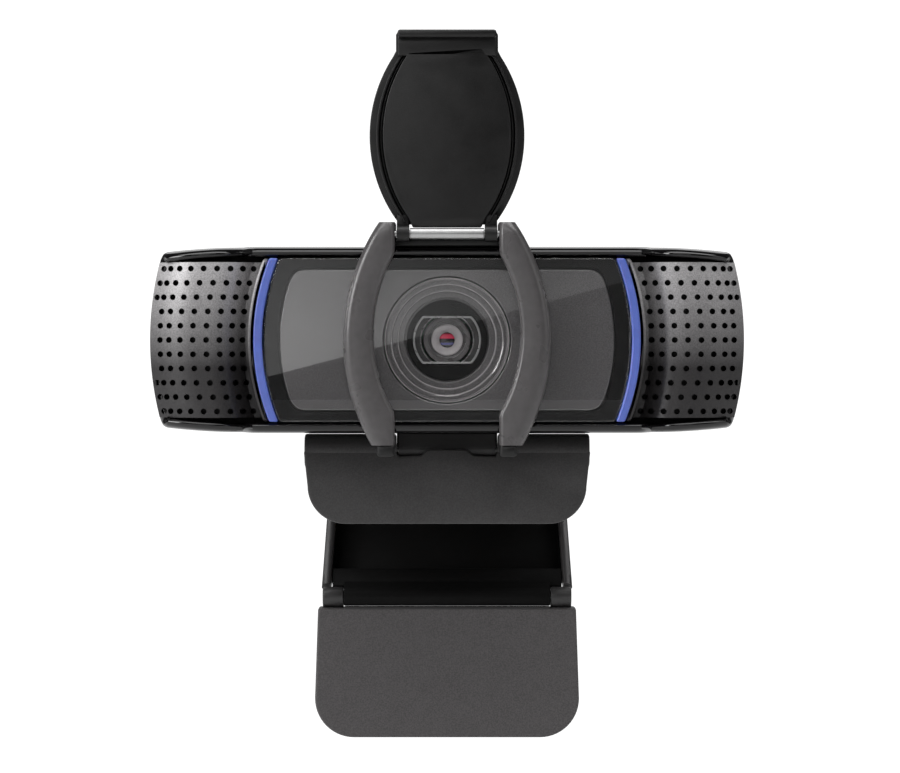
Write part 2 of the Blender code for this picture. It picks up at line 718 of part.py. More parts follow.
def make_clip(tilt_hole):
    lip = skirt_outline(CLIP_HALF_WIDTH, CLIP_HALF_WIDTH - 0.6, TILT_Z, LIP_BOTTOM, LIP_CORNER)
    clip = front_prism("clip_top", [lip], LIP_FRONT, LIP_BACK, SOFT_GREY)
    pieces = []
    for side in (-1, 1):
        roll_from = TILT_KNUCKLE_HALF + 1.5 * GAP
        low_x, high_x = sorted((side * roll_from, side * (CLIP_HALF_WIDTH - 0.1)))
        roll_name = f"tilt_roll{side}"
        roll = rod(roll_name, TILT_ROLL_RADIUS, low_x, high_x, (TILT_Y, TILT_Z), None, None, cutters)
        pieces.append(roll)
    trough = box(
        "knuckle_trough",
        (-TILT_KNUCKLE_HALF - GAP, -LIP_FRONT + 0.7, 0.6),
        (TILT_KNUCKLE_HALF + GAP, TILT_Y + 3.2, 10),
        None,
        None,
        cutters,
    )
    plate = box(
        "clip_plate",
        (0.2 - CLIP_HALF_WIDTH, -LIP_BACK - 0.4, PLATE_BOTTOM),
        (CLIP_HALF_WIDTH - 0.2, LEG_AXIS_Y - 3.4, PLATE_TOP),
        None,
        None,
        cutters,
    )
    under = box(
        "lip_web",
        (0.4 - CLIP_HALF_WIDTH, -LIP_BACK - 0.6, -0.2),
        (CLIP_HALF_WIDTH - 0.4, TILT_Y + 1.8, PLATE_BOTTOM + 0.2),
        None,
        None,
        cutters,
    )
    web_low = PLATE_BOTTOM + 0.2 - LEG_AXIS_Z
    web_high = PLATE_TOP - 0.2 - LEG_AXIS_Z
    barrel = side_prism(
        "leg_barrel",
        [hull([*circle(LEG_BARREL_RADIUS, steps=24), (-4.7, web_low), (-4.7, web_high)])],
        -LEG_BARREL_HALF,
        LEG_BARREL_HALF,
        (LEG_AXIS_Y, LEG_AXIS_Z),
        0.0,
        None,
        None,
        cutters,
    )
    bore = rod(
        "leg_bore", PIN_RADIUS + GAP, -30, 30, (LEG_AXIS_Y, LEG_AXIS_Z), None, None, cutters
    )
    insert_hole = circle(4.0, (0, 8.0), 24)
    pocket = plan_prism("insert_hole", [insert_hole], -2, 10, None, None, cutters)
    boss_outline = circle(5.6, (0, 8.0), 24)
    boss = plan_prism("insert_boss", [boss_outline], PLATE_BOTTOM + 0.2, 4.6, None, None, cutters)
    join(clip, plate, under, *pieces, barrel, boss)
    cut(clip, trough, tilt_hole, bore, pocket)

    pad = rectangle((-21.5, -24.6), (21.5, 24.8))
    pad_hole = circle(4.6, (0, 8.0), 24)
    plan_prism("seat_pad", [pad, pad_hole], 0.0, SEAT_PAD_TOP, RUBBER)
    back = skirt_outline(21.4, 20.9, -0.6, LIP_BOTTOM + 0.8, LIP_CORNER - 0.6)
    front_prism("lip_pad", [back], LIP_BACK - GAP, LIP_BACK - 1.1, RUBBER)
    insert = [(3.7, 4.5), (3.7, 0.6), (2.6, 0.6), (2.6, 4.5)]
    turned("tripod_insert", insert, (0, 8.0, 0), (0, 0, 0), BRASS, None, 24)
    rod("leg_hinge_pin", PIN_RADIUS, -19.6, 19.6, (LEG_AXIS_Y, LEG_AXIS_Z), STEEL)
    return bore


def make_leg(leg_bore):
    """The leg hangs along -Z of its hinge, open to the front, and is then turned."""
    origin = (LEG_AXIS_Y, LEG_AXIS_Z)
    channel = box(
        "rear_leg",
        (0.2 - LEG_TOP_HALF, LEG_REAR - LEG_WALL, 4.8 - LEG_LENGTH),
        (LEG_TOP_HALF - 0.2, LEG_REAR - 0.1, -3.9),
        SOFT_GREY,
        leg,
        turn=leg_spin,
        origin=(0, *origin),
    )
    chord = [(LEG_REAR, -3.7), (LEG_REAR, 4.6 - LEG_LENGTH), (0.9, 2.0 - LEG_LENGTH)]
    chord += [(LEG_FRONT, 2.0 - LEG_LENGTH), (LEG_FRONT, -3.7)]
    lug = hull([*circle(LEG_BARREL_RADIUS, steps=24), (-0.7, -5.0), (3.2, -5.0)])
    foot_ring = circle(FOOT_LUG_RADIUS, (0, -LEG_LENGTH), 20)
    foot_lug = hull([*foot_ring, (1.2, 5.4 - LEG_LENGTH), (3.2, 5.4 - LEG_LENGTH)])
    shapes = {
        "wall": (chord, LEG_TOP_HALF - LEG_WALL, LEG_BOTTOM_HALF + 0.2),
        "lug": (lug, LEG_BARREL_HALF + GAP, LEG_TOP_HALF - 0.1),
        "foot_lug": (foot_lug, 10.0, 17.2),
    }
    pieces = []
    trims = []
    for side in (-1, 1):
        for word, (shape, near, far) in shapes.items():
            low_x, high_x = sorted((side * near, side * far))
            name = f"leg_{word}{side}"
            pieces.append(
                side_prism(name, [shape], low_x, high_x, origin, leg_spin, None, None, cutters)
            )
        edge = [(LEG_TOP_HALF, 4.0), (LEG_TOP_HALF, 0.0), (LEG_BOTTOM_HALF, -LEG_LENGTH)]
        edge += [(30, -LEG_LENGTH), (30, 4.0)]
        mesh = outline_mesh(f"leg_trim{side}", [[(side * x, up) for x, up in edge]], 16)
        mesh.transform(Matrix.Rotation(math.pi / 2, 4, "X"))
        trims.append(
            place(f"leg_trim{side}", mesh, (0, *origin), (leg_spin, 0, 0), None, None, cutters)
        )
    join(channel, *pieces)
    cut(channel, *trims, leg_bore, make_foot_bore())


def make_foot_bore():
    centre = (FOOT_AXIS_Y, FOOT_AXIS_Z)
    return rod("foot_bore", PIN_RADIUS + GAP, -20.6, 20.6, centre, None, None, cutters, 20)


def make_foot():
    outline = skirt_outline(FOOT_TOP_HALF, FOOT_BOTTOM_HALF, FOOT_TOP, FOOT_BOTTOM, FOOT_CORNER)
    outline = [(x, up + FOOT_AXIS_Z) for x, up in outline]
    plate_front = -(FOOT_AXIS_Y + 0.4)
    body = front_prism("foot", [outline], plate_front, -(FOOT_AXIS_Y + LEG_REAR), SOFT_GREY, foot)
    origin = (FOOT_AXIS_Y, FOOT_AXIS_Z)
    pieces = []
    for side in (-1, 1):
        low_x, high_x = sorted((side * 17.5, side * 21.0))
        ear = hull([*circle(FOOT_LUG_RADIUS, steps=20), (0.9, -2.2), (3.0, -2.2)])
        name = f"foot_ear{side}"
        pieces.append(side_prism(name, [ear], low_x, high_x, origin, 0.0, None, None, cutters))
    join(body, *pieces)
    cut(body, bpy.data.objects["foot_bore"])
    pad_front = -(FOOT_AXIS_Y + LEG_FRONT)
    front_prism("foot_pad", [outline], pad_front, plate_front + GAP, RUBBER, foot)
    for side, word in ((-1, "left"), (1, "right")):
        low_x, high_x = sorted((side * 10.4, side * 20.2))
        rod(f"foot_hinge_pin_{word}", PIN_RADIUS, low_x, high_x, origin, STEEL, leg, steps=20)


make_housings()
make_front()
make_optics()
make_microphones_and_fasteners()
tilt_hole = make_tilt()
shutter_pin_hole = make_shutter_frame()
make_shutter_flap(shutter_pin_hole)
make_leg(make_clip(tilt_hole))
make_foot()
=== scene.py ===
"""Looks of a webcam with a flip-up shutter on a monitor clip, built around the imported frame."""

import math

import bmesh
import bpy
from mathutils import Matrix, Vector


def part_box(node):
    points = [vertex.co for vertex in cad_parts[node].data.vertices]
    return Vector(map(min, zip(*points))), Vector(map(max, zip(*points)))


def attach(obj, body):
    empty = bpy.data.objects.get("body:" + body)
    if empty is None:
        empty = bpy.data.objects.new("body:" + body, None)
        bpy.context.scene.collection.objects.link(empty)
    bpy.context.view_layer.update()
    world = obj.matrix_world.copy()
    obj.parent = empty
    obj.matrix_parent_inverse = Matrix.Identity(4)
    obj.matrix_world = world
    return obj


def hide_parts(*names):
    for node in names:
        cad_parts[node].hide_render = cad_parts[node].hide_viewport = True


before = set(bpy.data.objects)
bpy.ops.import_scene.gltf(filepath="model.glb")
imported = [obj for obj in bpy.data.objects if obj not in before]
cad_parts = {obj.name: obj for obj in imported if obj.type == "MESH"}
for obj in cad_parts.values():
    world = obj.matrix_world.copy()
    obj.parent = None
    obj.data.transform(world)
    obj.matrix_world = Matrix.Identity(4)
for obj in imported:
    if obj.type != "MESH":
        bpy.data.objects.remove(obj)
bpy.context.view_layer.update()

MM = 0.001


def box_mm(node):
    """A CAD node's lowest and highest corners in millimetres."""
    low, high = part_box(node)
    return [value / MM for value in low], [value / MM for value in high]


LENS_Z = (box_mm("lens_barrel")[0][2] + box_mm("lens_barrel")[1][2]) / 2
WINDOW_FRONT = -box_mm("front_window")[0][1]
HEAD_LOW, HEAD_HIGH = box_mm("front_bezel")
HEAD_HALF_WIDTH = HEAD_HIGH[0]
HEAD_HALF_HEIGHT = HEAD_HIGH[2] - LENS_Z
BEZEL_FRONT = -HEAD_LOW[1]
HEAD_SIDE_RADIUS = 49.0
HOUSING_SPLIT = -box_mm("rear_casing")[0][1]
HEAD_BACK = -box_mm("rear_casing")[1][1]


# ---------------------------------------------------------------- materials


def linear(level):
    """A display level from 0 to 255 as the linear value a shader takes."""
    share = level / 255
    return share / 12.92 if share <= 0.04045 else ((share + 0.055) / 1.055) ** 2.4


def shade(red, green=None, blue=None):
    """Display levels from 0 to 255 as an opaque colour; one level alone gives a grey."""
    if green is None:
        green = blue = red
    return (linear(red), linear(green), linear(blue), 1.0)


def mapped(tree, value, before, after=(0.0, 1.0)):
    """A shader value carried from one range to another, held at the ends."""
    span = tree.nodes.new("ShaderNodeMapRange")
    for word, (low, high) in (("From", before), ("To", after)):
        span.inputs[f"{word} Min"].default_value = low
        span.inputs[f"{word} Max"].default_value = high
    tree.links.new(value, span.inputs["Value"])
    return span.outputs["Result"]


class Look:
    """A Principled material with object-space patterns added step by step."""

    def __init__(self, name, colour, roughness, **sockets):
        self.material = bpy.data.materials.new(name)
        self.material.use_nodes = True
        self.tree = self.material.node_tree
        self.nodes = self.tree.nodes
        self.links = self.tree.links
        self.shader = self.nodes["Principled BSDF"]
        self.colour = colour
        self.roughness = roughness
        self.shader.inputs["Base Color"].default_value = colour
        self.shader.inputs["Roughness"].default_value = roughness
        for socket, value in sockets.items():
            self.shader.inputs[socket.replace("_", " ")].default_value = value
        self.place = self.nodes.new("ShaderNodeTexCoord").outputs["Object"]
        self.last_normal = None

    def noise(self, scale, detail=2.0, stretch=None):
        texture = self.nodes.new("ShaderNodeTexNoise")
        texture.inputs["Scale"].default_value = scale
        texture.inputs["Detail"].default_value = detail
        place = self.place
        if stretch is not None:
            mapping = self.nodes.new("ShaderNodeMapping")
            mapping.inputs["Scale"].default_value = stretch
            self.links.new(place, mapping.inputs["Vector"])
            place = mapping.outputs["Vector"]
        self.links.new(place, texture.inputs["Vector"])
        return texture.outputs["Fac"]

    def ramp(self, value, low, high, dark, light):
        """Colours dark to light as value goes from low to high."""
        ramp = self.nodes.new("ShaderNodeValToRGB")
        ramp.color_ramp.elements[0].position = low
        ramp.color_ramp.elements[1].position = high
        ramp.color_ramp.elements[0].color = dark
        ramp.color_ramp.elements[1].color = light
        self.links.new(value, ramp.inputs["Fac"])
        return ramp.outputs["Color"]

    def tint(self, value, low, high, spread):
        """Base colour that varies around the plain one by a share, following value."""
        dark = tuple(part * (1 - spread) for part in self.colour[:3]) + (1.0,)
        light = tuple(min(part * (1 + spread), 1.0) for part in self.colour[:3]) + (1.0,)
        self.links.new(self.ramp(value, low, high, dark, light), self.shader.inputs["Base Color"])
        return self

    def wear(self, value, low, high, spread):
        """Roughness that varies around the plain one by spread, following value."""
        after = (max(self.roughness - spread, 0.0), min(self.roughness + spread, 1.0))
        rough = mapped(self.tree, value, (low, high), after)
        self.links.new(rough, self.shader.inputs["Roughness"])
        return self

    def rise(self, reach):
        """0 to 1 going up, from reach millimetres below the lens axis to as far above it."""
        split = self.nodes.new("ShaderNodeSeparateXYZ")
        self.links.new(self.place, split.inputs["Vector"])
        ends = ((LENS_Z - reach) * MM, (LENS_Z + reach) * MM)
        return mapped(self.tree, split.outputs["Z"], ends)

    def bump(self, value, height_mm, strength=1.0):
        bump = self.nodes.new("ShaderNodeBump")
        bump.inputs["Strength"].default_value = strength
        bump.inputs["Distance"].default_value = height_mm * MM
        self.links.new(value, bump.inputs["Height"])
        if self.last_normal is not None:
            self.links.new(self.last_normal, bump.inputs["Normal"])
        self.last_normal = bump.outputs["Normal"]
        self.links.new(self.last_normal, self.shader.inputs["Normal"])
        return self


def gloss_black():
    look = Look("gloss_black", shade(8, 7, 8), 0.06, Specular_IOR_Level=0.4)
    return look.wear(look.noise(180), 0.35, 0.7, 0.02).material


def matte_plastic(name, level, roughness, grain=1.0, specular=0.5):
    """Moulded plastic with a fine spark-eroded texture."""
    colour = shade(level, level * 0.97, level * 0.98)
    look = Look(name, colour, roughness, Specular_IOR_Level=specular)
    fine = look.noise(3800, 3)
    look.tint(look.noise(900, 4), 0.3, 0.7, 0.10)
    look.wear(look.noise(260), 0.3, 0.7, 0.05)
    return look.bump(fine, 0.03 * grain, 0.5).material


def soft_touch(name, level):
    """Rubbery coating with a fine speckle and a soft sheen."""
    look = Look(name, shade(level, level * 0.96, level * 0.97), 0.62, Sheen_Weight=0.12)
    speckle = look.noise(4200, 4)
    look.tint(speckle, 0.36, 0.66, 0.28)
    look.wear(look.noise(300, 3), 0.3, 0.7, 0.06)
    return look.bump(speckle, 0.035, 0.55).material


def sparkle_grey():
    """Grey metallic paint: fine bright flakes over a darker ground."""
    look = Look("sparkle_grey", shade(66, 64, 65), 0.42, Metallic=0.35, Coat_Weight=1.0)
    look.shader.inputs["Coat Roughness"].default_value = 0.015
    look.shader.inputs["Coat IOR"].default_value = 2.0
    flakes = look.noise(5200, 4)
    look.tint(flakes, 0.38, 0.68, 0.32)
    look.wear(look.noise(700, 2), 0.3, 0.7, 0.06)
    return look.bump(flakes, 0.012, 0.4).material


def grille_satin_painted_shade():
    """Satin grey with painted shade: paler at the top of the wing than at its foot, as if lit
    from above.
    """
    look = Look("grille_satin_painted_shade", shade(118, 116, 117), 0.4, Metallic=0.25)
    # Painted shade: the base colour runs from dark at the wing's foot to pale at its top, in
    # place of light from above.
    painted_top_light = look.ramp(look.rise(13), 0.33, 0.95, shade(46, 44, 45), shade(176, 174, 175))
    grain = look.ramp(look.noise(4600, 4), 0.35, 0.68, shade(205), shade(255))
    mixed = look.nodes.new("ShaderNodeMix")
    mixed.data_type = "RGBA"
    mixed.blend_type = "MULTIPLY"
    mixed.inputs[0].default_value = 1.0
    look.links.new(painted_top_light, mixed.inputs[6])
    look.links.new(grain, mixed.inputs[7])
    look.links.new(mixed.outputs[2], look.shader.inputs["Base Color"])
    return look.bump(look.noise(4600, 4), 0.015, 0.5).material


def blue_guide():
    colour = shade(78, 95, 166)
    look = Look("blue_guide", colour, 0.28, Subsurface_Weight=0.3, Subsurface_Scale=0.002)
    # Painted glow: the guide gives off a faint blue light of its own, though the LEDs behind it
    # are unlit.
    look.shader.inputs["Emission Color"].default_value = shade(78, 96, 170)
    look.shader.inputs["Emission Strength"].default_value = 0.12
    return look.tint(look.noise(500, 2), 0.3, 0.7, 0.08).material


def clear_window():
    look = Look("clear_window", (1.0, 1.0, 1.0, 1.0), 0.0, Transmission_Weight=1.0, IOR=1.45)
    return look.tint(look.noise(40, 1), 0.3, 0.7, 0.01).material


# Painted reflections: colour stops for the coating's glints, laid into the lens glass's base
# colour by height.
PAINTED_COATING_GLINTS = (
    (0.22, shade(48, 52, 130)),
    (0.36, shade(10, 8, 14)),
    (0.56, shade(16, 6, 10)),
    (0.64, shade(205, 52, 84)),
    (0.86, shade(190, 40, 70)),
)


def lens_glass():
    """Dark coated glass with painted glints in its base colour: a pink one in the upper half and
    a blue one low down.
    """
    look = Look("lens_glass", shade(20, 8, 14), 0.02, Coat_Weight=1.0, Coat_Roughness=0.01)
    height = look.rise(1.15)
    ramp = look.nodes.new("ShaderNodeValToRGB")
    stops = ramp.color_ramp.elements
    stops[0].position, stops[0].color = 0.12, shade(12, 10, 16)
    stops[1].position, stops[1].color = 0.98, shade(30, 8, 14)
    for position, colour in PAINTED_COATING_GLINTS:
        stops.new(position).color = colour
    look.links.new(height, ramp.inputs["Fac"])
    look.links.new(ramp.outputs["Color"], look.shader.inputs["Base Color"])
    return look.material


def metal(name, level, roughness, turned=False):
    look = Look(name, shade(level), roughness, Metallic=1.0)
    stretch = (6.0, 1.0, 1.0) if turned else (1.0, 1.0, 1.0)
    lines = look.noise(1500, 3, stretch)
    look.tint(lines, 0.3, 0.7, 0.08)
    return look.wear(lines, 0.3, 0.7, 0.08).material


def brass():
    look = Look("machined_brass", shade(205, 165, 85), 0.28, Metallic=1.0)
    lines = look.noise(1400, 3, (1.0, 1.0, 8.0))
    return look.tint(lines, 0.3, 0.7, 0.12).bump(lines, 0.01, 0.3).material


def circuit_board():
    look = Look("circuit_board", shade(18, 84, 48), 0.35, Coat_Weight=0.4)
    traces = look.noise(420, 1, (1.0, 1.0, 4.0))
    return look.tint(traces, 0.47, 0.53, 0.35).bump(traces, 0.03, 0.4).material


LOOKS = {
    "gloss_black": gloss_black(),
    "matte_black": matte_plastic("matte_black", 34, 0.5),
    "deep_black": matte_plastic("deep_black", 15, 0.6, 0.6),
    "flap_black": matte_plastic("flap_black", 15, 0.42, 1.0, 0.3),
    "leg_black": matte_plastic("leg_black", 46, 0.45),
    # Near-black for the painted shade inside the leg's channel.
    "channel_painted_shade_black": matte_plastic("channel_painted_shade_black", 6, 0.7, 0.5, 0.1),
    "soft_grey": soft_touch("soft_grey", 37),
    "foot_grey": soft_touch("foot_grey", 66),
    "frame_grey": matte_plastic("frame_grey", 70, 0.3, 0.6),
    "plate_grey": sparkle_grey(),
    # Pale grey for the painted highlight rings on the lens hood's steps.
    "painted_highlight_grey": matte_plastic("painted_highlight_grey", 118, 0.35, 0.3),
    # Pale matte grey for the lens ring, with the metal's shine painted in.
    "ring_painted_shine_grey": matte_plastic("ring_painted_shine_grey", 150, 0.35, 0.3),
    "border_black": matte_plastic("border_black", 5, 0.55, 0.2, 0.12),
    "grille_grey": grille_satin_painted_shade(),
    "clear_window": clear_window(),
    "lens_glass": lens_glass(),
    "guide_blue": blue_guide(),
    "steel": metal("bright_steel", 165, 0.36, True),
    "satin_steel": metal("satin_steel", 150, 0.32),
    "brass": brass(),
    "rubber": soft_touch("rubber", 34),
    "board": circuit_board(),
    "chip": matte_plastic("chip_black", 26, 0.45),
    "led": matte_plastic("led_white", 220, 0.35, 0.3),
}


# ---------------------------------------------------------------- shape helpers


def finish_piece(piece, body, look, slot, *nodes):
    """Material, body and the CAD nodes that a piece stands for. The slot argument is not used."""
    piece.data.materials.clear()
    piece.data.materials.append(LOOKS[look])
    if nodes:
        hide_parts(*nodes)
    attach(piece, body)
    return piece


def as_object(name, mesh, smooth_degrees=35):
    """A mesh in the scene, shaded smooth except across sharper turns."""
    piece = bpy.data.objects.new(name, mesh)
    bpy.context.scene.collection.objects.link(piece)
    for face in mesh.polygons:
        face.use_smooth = True
    mesh.set_sharp_from_angle(angle=math.radians(smooth_degrees))
    return piece


def mesh_from(name, shape, turn=None):
    """A bmesh in millimetres as a mesh in metres, after an optional turn."""
    bmesh.ops.recalc_face_normals(shape, faces=shape.faces)
    mesh = bpy.data.meshes.new(name)
    shape.to_mesh(mesh)
    shape.free()
    if turn is not None:
        mesh.transform(turn)
    mesh.transform(Matrix.Scale(MM, 4))
    return mesh


def soften(piece, width, segments=3, angle=40):
    """A rounded bevel, width in millimetres, on edges that turn by more than angle."""
    bevel = piece.modifiers.new("softened_edges", "BEVEL")
    bevel.width = width * MM
    bevel.segments = segments
    bevel.limit_method = "ANGLE"
    bevel.angle_limit = math.radians(angle)
    bevel.harden_normals = True
    bevel.use_clamp_overlap = True
    return piece


FRONT_TURN = Matrix.Rotation(math.pi / 2, 4, "X")
SIDE_TURN = Matrix.Rotation(math.pi / 2, 4, "Z") @ FRONT_TURN
AXLE_TURN = Matrix.Rotation(math.pi / 2, 4, "Y")


def flat_mesh(name, outlines, thickness, turn, shift):
    """Outlines filled and extruded by thickness, turned into place and shifted."""
    curve = bpy.data.curves.new(name, "CURVE")
    curve.dimensions = "2D"
    curve.fill_mode = "BOTH"
    curve.extrude = thickness / 2
    for outline in outlines:
        spline = curve.splines.new("POLY")
        spline.points.add(len(outline) - 1)
        spline.use_cyclic_u = True
        for point, (across, up) in zip(spline.points, outline):
            point.co = (across, up, 0, 1)
    source = bpy.data.objects.new(name, curve)
    bpy.context.scene.collection.objects.link(source)
    bpy.context.view_layer.update()
    graph = bpy.context.evaluated_depsgraph_get()
    made = bpy.data.meshes.new_from_object(source.evaluated_get(graph))
    bpy.data.objects.remove(source)
    shape = bmesh.new()
    shape.from_mesh(made)
    bpy.data.meshes.remove(made)
    bmesh.ops.remove_doubles(shape, verts=shape.verts, dist=0.0005)
    flat = math.radians(0.2)
    bmesh.ops.dissolve_limit(shape, angle_limit=flat, verts=shape.verts, edges=shape.edges)
    return mesh_from(name, shape, Matrix.Translation(shift) @ turn)


def slab(name, outlines, front, back, edge, segments=3):
    """Outlines in X and Z between two forward depths, with softened edges."""
    shift = (0, -(front + back) / 2, 0)
    mesh = flat_mesh(name, outlines, front - back, FRONT_TURN, shift)
    return soften(as_object(name, mesh), edge, segments)


def side_slab(name, outline, left, right, edge, segments=3):
    """An outline in Y and Z between two X places, with softened edges."""
    mesh = flat_mesh(name, [outline], right - left, SIDE_TURN, ((left + right) / 2, 0, 0))
    return soften(as_object(name, mesh), edge, segments)


def block(name, low, high, edge, segments=3):
    """A box between two corners, with softened edges."""
    outline = [(low[1], low[2]), (high[1], low[2]), (high[1], high[2]), (low[1], high[2])]
    return side_slab(name, outline, low[0], high[0], edge, segments)


def lathe(name, profile, steps=96, x=0.0, y=0.0, z=LENS_Z, turn=FRONT_TURN):
    """A (radius, height) profile turned about an axis; closed where it leaves the axis."""
    shape = bmesh.new()
    rings = []
    for radius, height in profile:
        if radius == 0:
            rings.append([shape.verts.new((0, 0, height))])
            continue
        ring = []
        for step in range(steps):
            angle = 2 * math.pi * step / steps
            ring.append(
                shape.verts.new((radius * math.cos(angle), radius * math.sin(angle), height))
            )
        rings.append(ring)
    pairs = list(zip(rings, rings[1:]))
    if len(rings[0]) > 1:
        pairs.append((rings[-1], rings[0]))
    for first, second in pairs:
        for step in range(steps):
            following = (step + 1) % steps
            corners = [first[step % len(first)], first[following % len(first)]]
            corners += [second[following % len(second)], second[step % len(second)]]
            shape.faces.new(list(dict.fromkeys(corners)))
    mesh = mesh_from(name, shape, Matrix.Translation((x, y, z)) @ turn)
    return as_object(name, mesh, 28)


def loft(name, rings, closed_around=True, cap_first=False, cap_last=False, smooth_degrees=35):
    """Faces between successive rings of points, each ring closed on itself."""
    shape = bmesh.new()
    rows = [[shape.verts.new(point) for point in ring] for ring in rings]
    count = len(rows[0])
    pairs = list(zip(rows, rows[1:]))
    if closed_around:
        pairs.append((rows[-1], rows[0]))
    for first, second in pairs:
        for step in range(count):
            following = (step + 1) % count
            shape.faces.new((first[step], first[following], second[following], second[step]))
    if cap_first:
        shape.faces.new(rows[0])
    if cap_last:
        shape.faces.new(rows[-1])
    return as_object(name, mesh_from(name, shape), smooth_degrees)


def joined(name, pieces):
    """Several pieces, modifiers applied, as one object."""
    graph = bpy.context.evaluated_depsgraph_get()
    shape = bmesh.new()
    for piece in pieces:
        made = bpy.data.meshes.new_from_object(piece.evaluated_get(graph))
        shape.from_mesh(made)
        bpy.data.meshes.remove(made)
        bpy.data.objects.remove(piece)
    mesh = bpy.data.meshes.new(name)
    shape.to_mesh(mesh)
    shape.free()
    return as_object(name, mesh, 32)


def side_reach(half_width, radius, up, centre=0.0):
    """Half width at height up of an outline whose side is an arc bulging outwards."""
    return half_width - radius + math.sqrt(radius**2 - (up - centre) ** 2)


def spaced(start, end, steps):
    """Even places from start to end, both included."""
    return [start + (end - start) * step / steps for step in range(steps + 1)]


def mirrored(right):
    """The right half of an outline followed by its mirror image."""
    return right + [(-x, up) for x, up in reversed(right)]


def eased(share):
    """A share held between 0 and 1, with a slow start and end."""
    share = min(max(share, 0.0), 1.0)
    return share * share * (3 - 2 * share)


def rounded_corner(start, tip, end, steps=6):
    """Points after start on a curve that is drawn towards tip and stops at end."""
    points = []
    for step in range(1, steps + 1):
        t = step / steps
        weights = ((1 - t) ** 2, 2 * t * (1 - t), t**2)
        across = weights[0] * start[0] + weights[1] * tip[0] + weights[2] * end[0]
        up = weights[0] * start[1] + weights[1] * tip[1] + weights[2] * end[1]
        points.append((across, up))
    return points


def bowed_outline(half_width, half_height, radius, corner, steps=28):
    """A flat-topped outline with arcs for sides and rounded corners."""
    reach = half_height - corner
    right = [(side_reach(half_width, radius, up), up) for up in spaced(-reach, reach, steps)]
    tip = (side_reach(half_width, radius, half_height), half_height)
    rounding = rounded_corner(right[-1], tip, (tip[0] - corner, half_height))
    right = [(x, -up) for x, up in reversed(rounding)] + right + rounding
    return [(x, up + LENS_Z) for x, up in mirrored(right)]


def circle(radius, centre=(0.0, 0.0), steps=64, flat=None):
    """A circle, cut off level at a distance flat above and below its centre if that is given."""
    points = []
    for step in range(steps):
        angle = 2 * math.pi * (step + 0.5) / steps
        up = radius * math.sin(angle)
        if flat is not None:
            up = max(-flat, min(flat, up))
        points.append((centre[0] + radius * math.cos(angle), centre[1] + up))
    return points


# ---------------------------------------------------------------- camera head

WING_CREST_X, WING_CREST = 37.2, 36.6
WING_INNER_CURVE, WING_OUTER_CURVE = 0.128, 0.055
VALLEY_X = 32.4
GUIDE_OUTER = box_mm("right_light_guide")[1][0]
WINDOW_BOW, PLATE_BOW, GRID_BOW = 34.0, 28.0, 37.0
GRILLE_HALF_HEIGHT = 12.2
LIP_DIP_X, LIP_DIP_UP, LIP_DIP = 44.0, 13.6, 1.6


def wing_depth(x):
    """Forward depth of a wing's grille at a distance x from the middle."""
    share = eased((x - WING_CREST_X) / 5.0 + 0.5)
    curve = WING_INNER_CURVE * (1 - share) + WING_OUTER_CURVE * share
    return WING_CREST - curve * (x - WING_CREST_X) ** 2


def cap_depth(x):
    """Forward depth of the bezel's front lip at a distance x from the middle."""
    x = abs(x)
    share = eased((x - GUIDE_OUTER) / (VALLEY_X - GUIDE_OUTER))
    wing = wing_depth(max(x, VALLEY_X)) + 0.25
    return BEZEL_FRONT * (1 - share) + wing * share


def lip_depth(x, up, drop):
    """The lip stands proud along the top and bottom and hides behind the grille at the sides."""
    share = min(max((LIP_DIP_UP - abs(up)) / 0.5, 0.0), 1.0) if abs(x) > LIP_DIP_X else 0.0
    return cap_depth(x) - drop - LIP_DIP * share


def head_half_height(x):
    """The wings are slightly lower than the middle."""
    share = min(max((abs(x) - 28.5) / 15.0, 0.0), 1.0)
    return HEAD_HALF_HEIGHT - 0.7 * share * share


def head_loop():
    """Points round the head, in X and height above the lens."""
    steps = 24
    ups = spaced(-GRILLE_HALF_HEIGHT, GRILLE_HALF_HEIGHT, steps)
    points = [(side_reach(HEAD_HALF_WIDTH, HEAD_SIDE_RADIUS, up), up) for up in ups]
    corner_x = points[-1][0]
    tip = (corner_x - 0.3, head_half_height(44))
    points += rounded_corner(points[-1], tip, (corner_x - 2.0, head_half_height(43.5)))
    inner = points[-1][0]
    for across in spaced(inner, -inner, 100)[1:-1]:
        points.append((across, head_half_height(across)))
    top = points[steps + 1 :]
    points += [(-x, up) for x, up in reversed(points[: steps + 1] + top[:6])]
    points += [(-x, -up) for x, up in top]
    points += [(x, -up) for x, up in reversed(top[:6])]
    return points


def loop_with_normals(points):
    """Each point of a closed loop with its inward direction."""
    placed = []
    count = len(points)
    for index, (x, up) in enumerate(points):
        before = points[index - 1]
        after = points[(index + 1) % count]
        along = Vector((after[0] - before[0], after[1] - before[1])).normalized()
        placed.append((x, up, -along.y, along.x))
    return placed


def head_shell(name, profile):
    """A shell round the head from pairs of an inset and a depth rule of x and height."""
    rings = []
    for x, up, in_x, in_up in loop_with_normals(head_loop()):
        ring = []
        for inset, depth in profile:
            across = x + in_x * inset
            ring.append((across, -depth(across, up), up + in_up * inset + LENS_Z))
        rings.append(ring)
    return loft(name, rings, smooth_degrees=50)


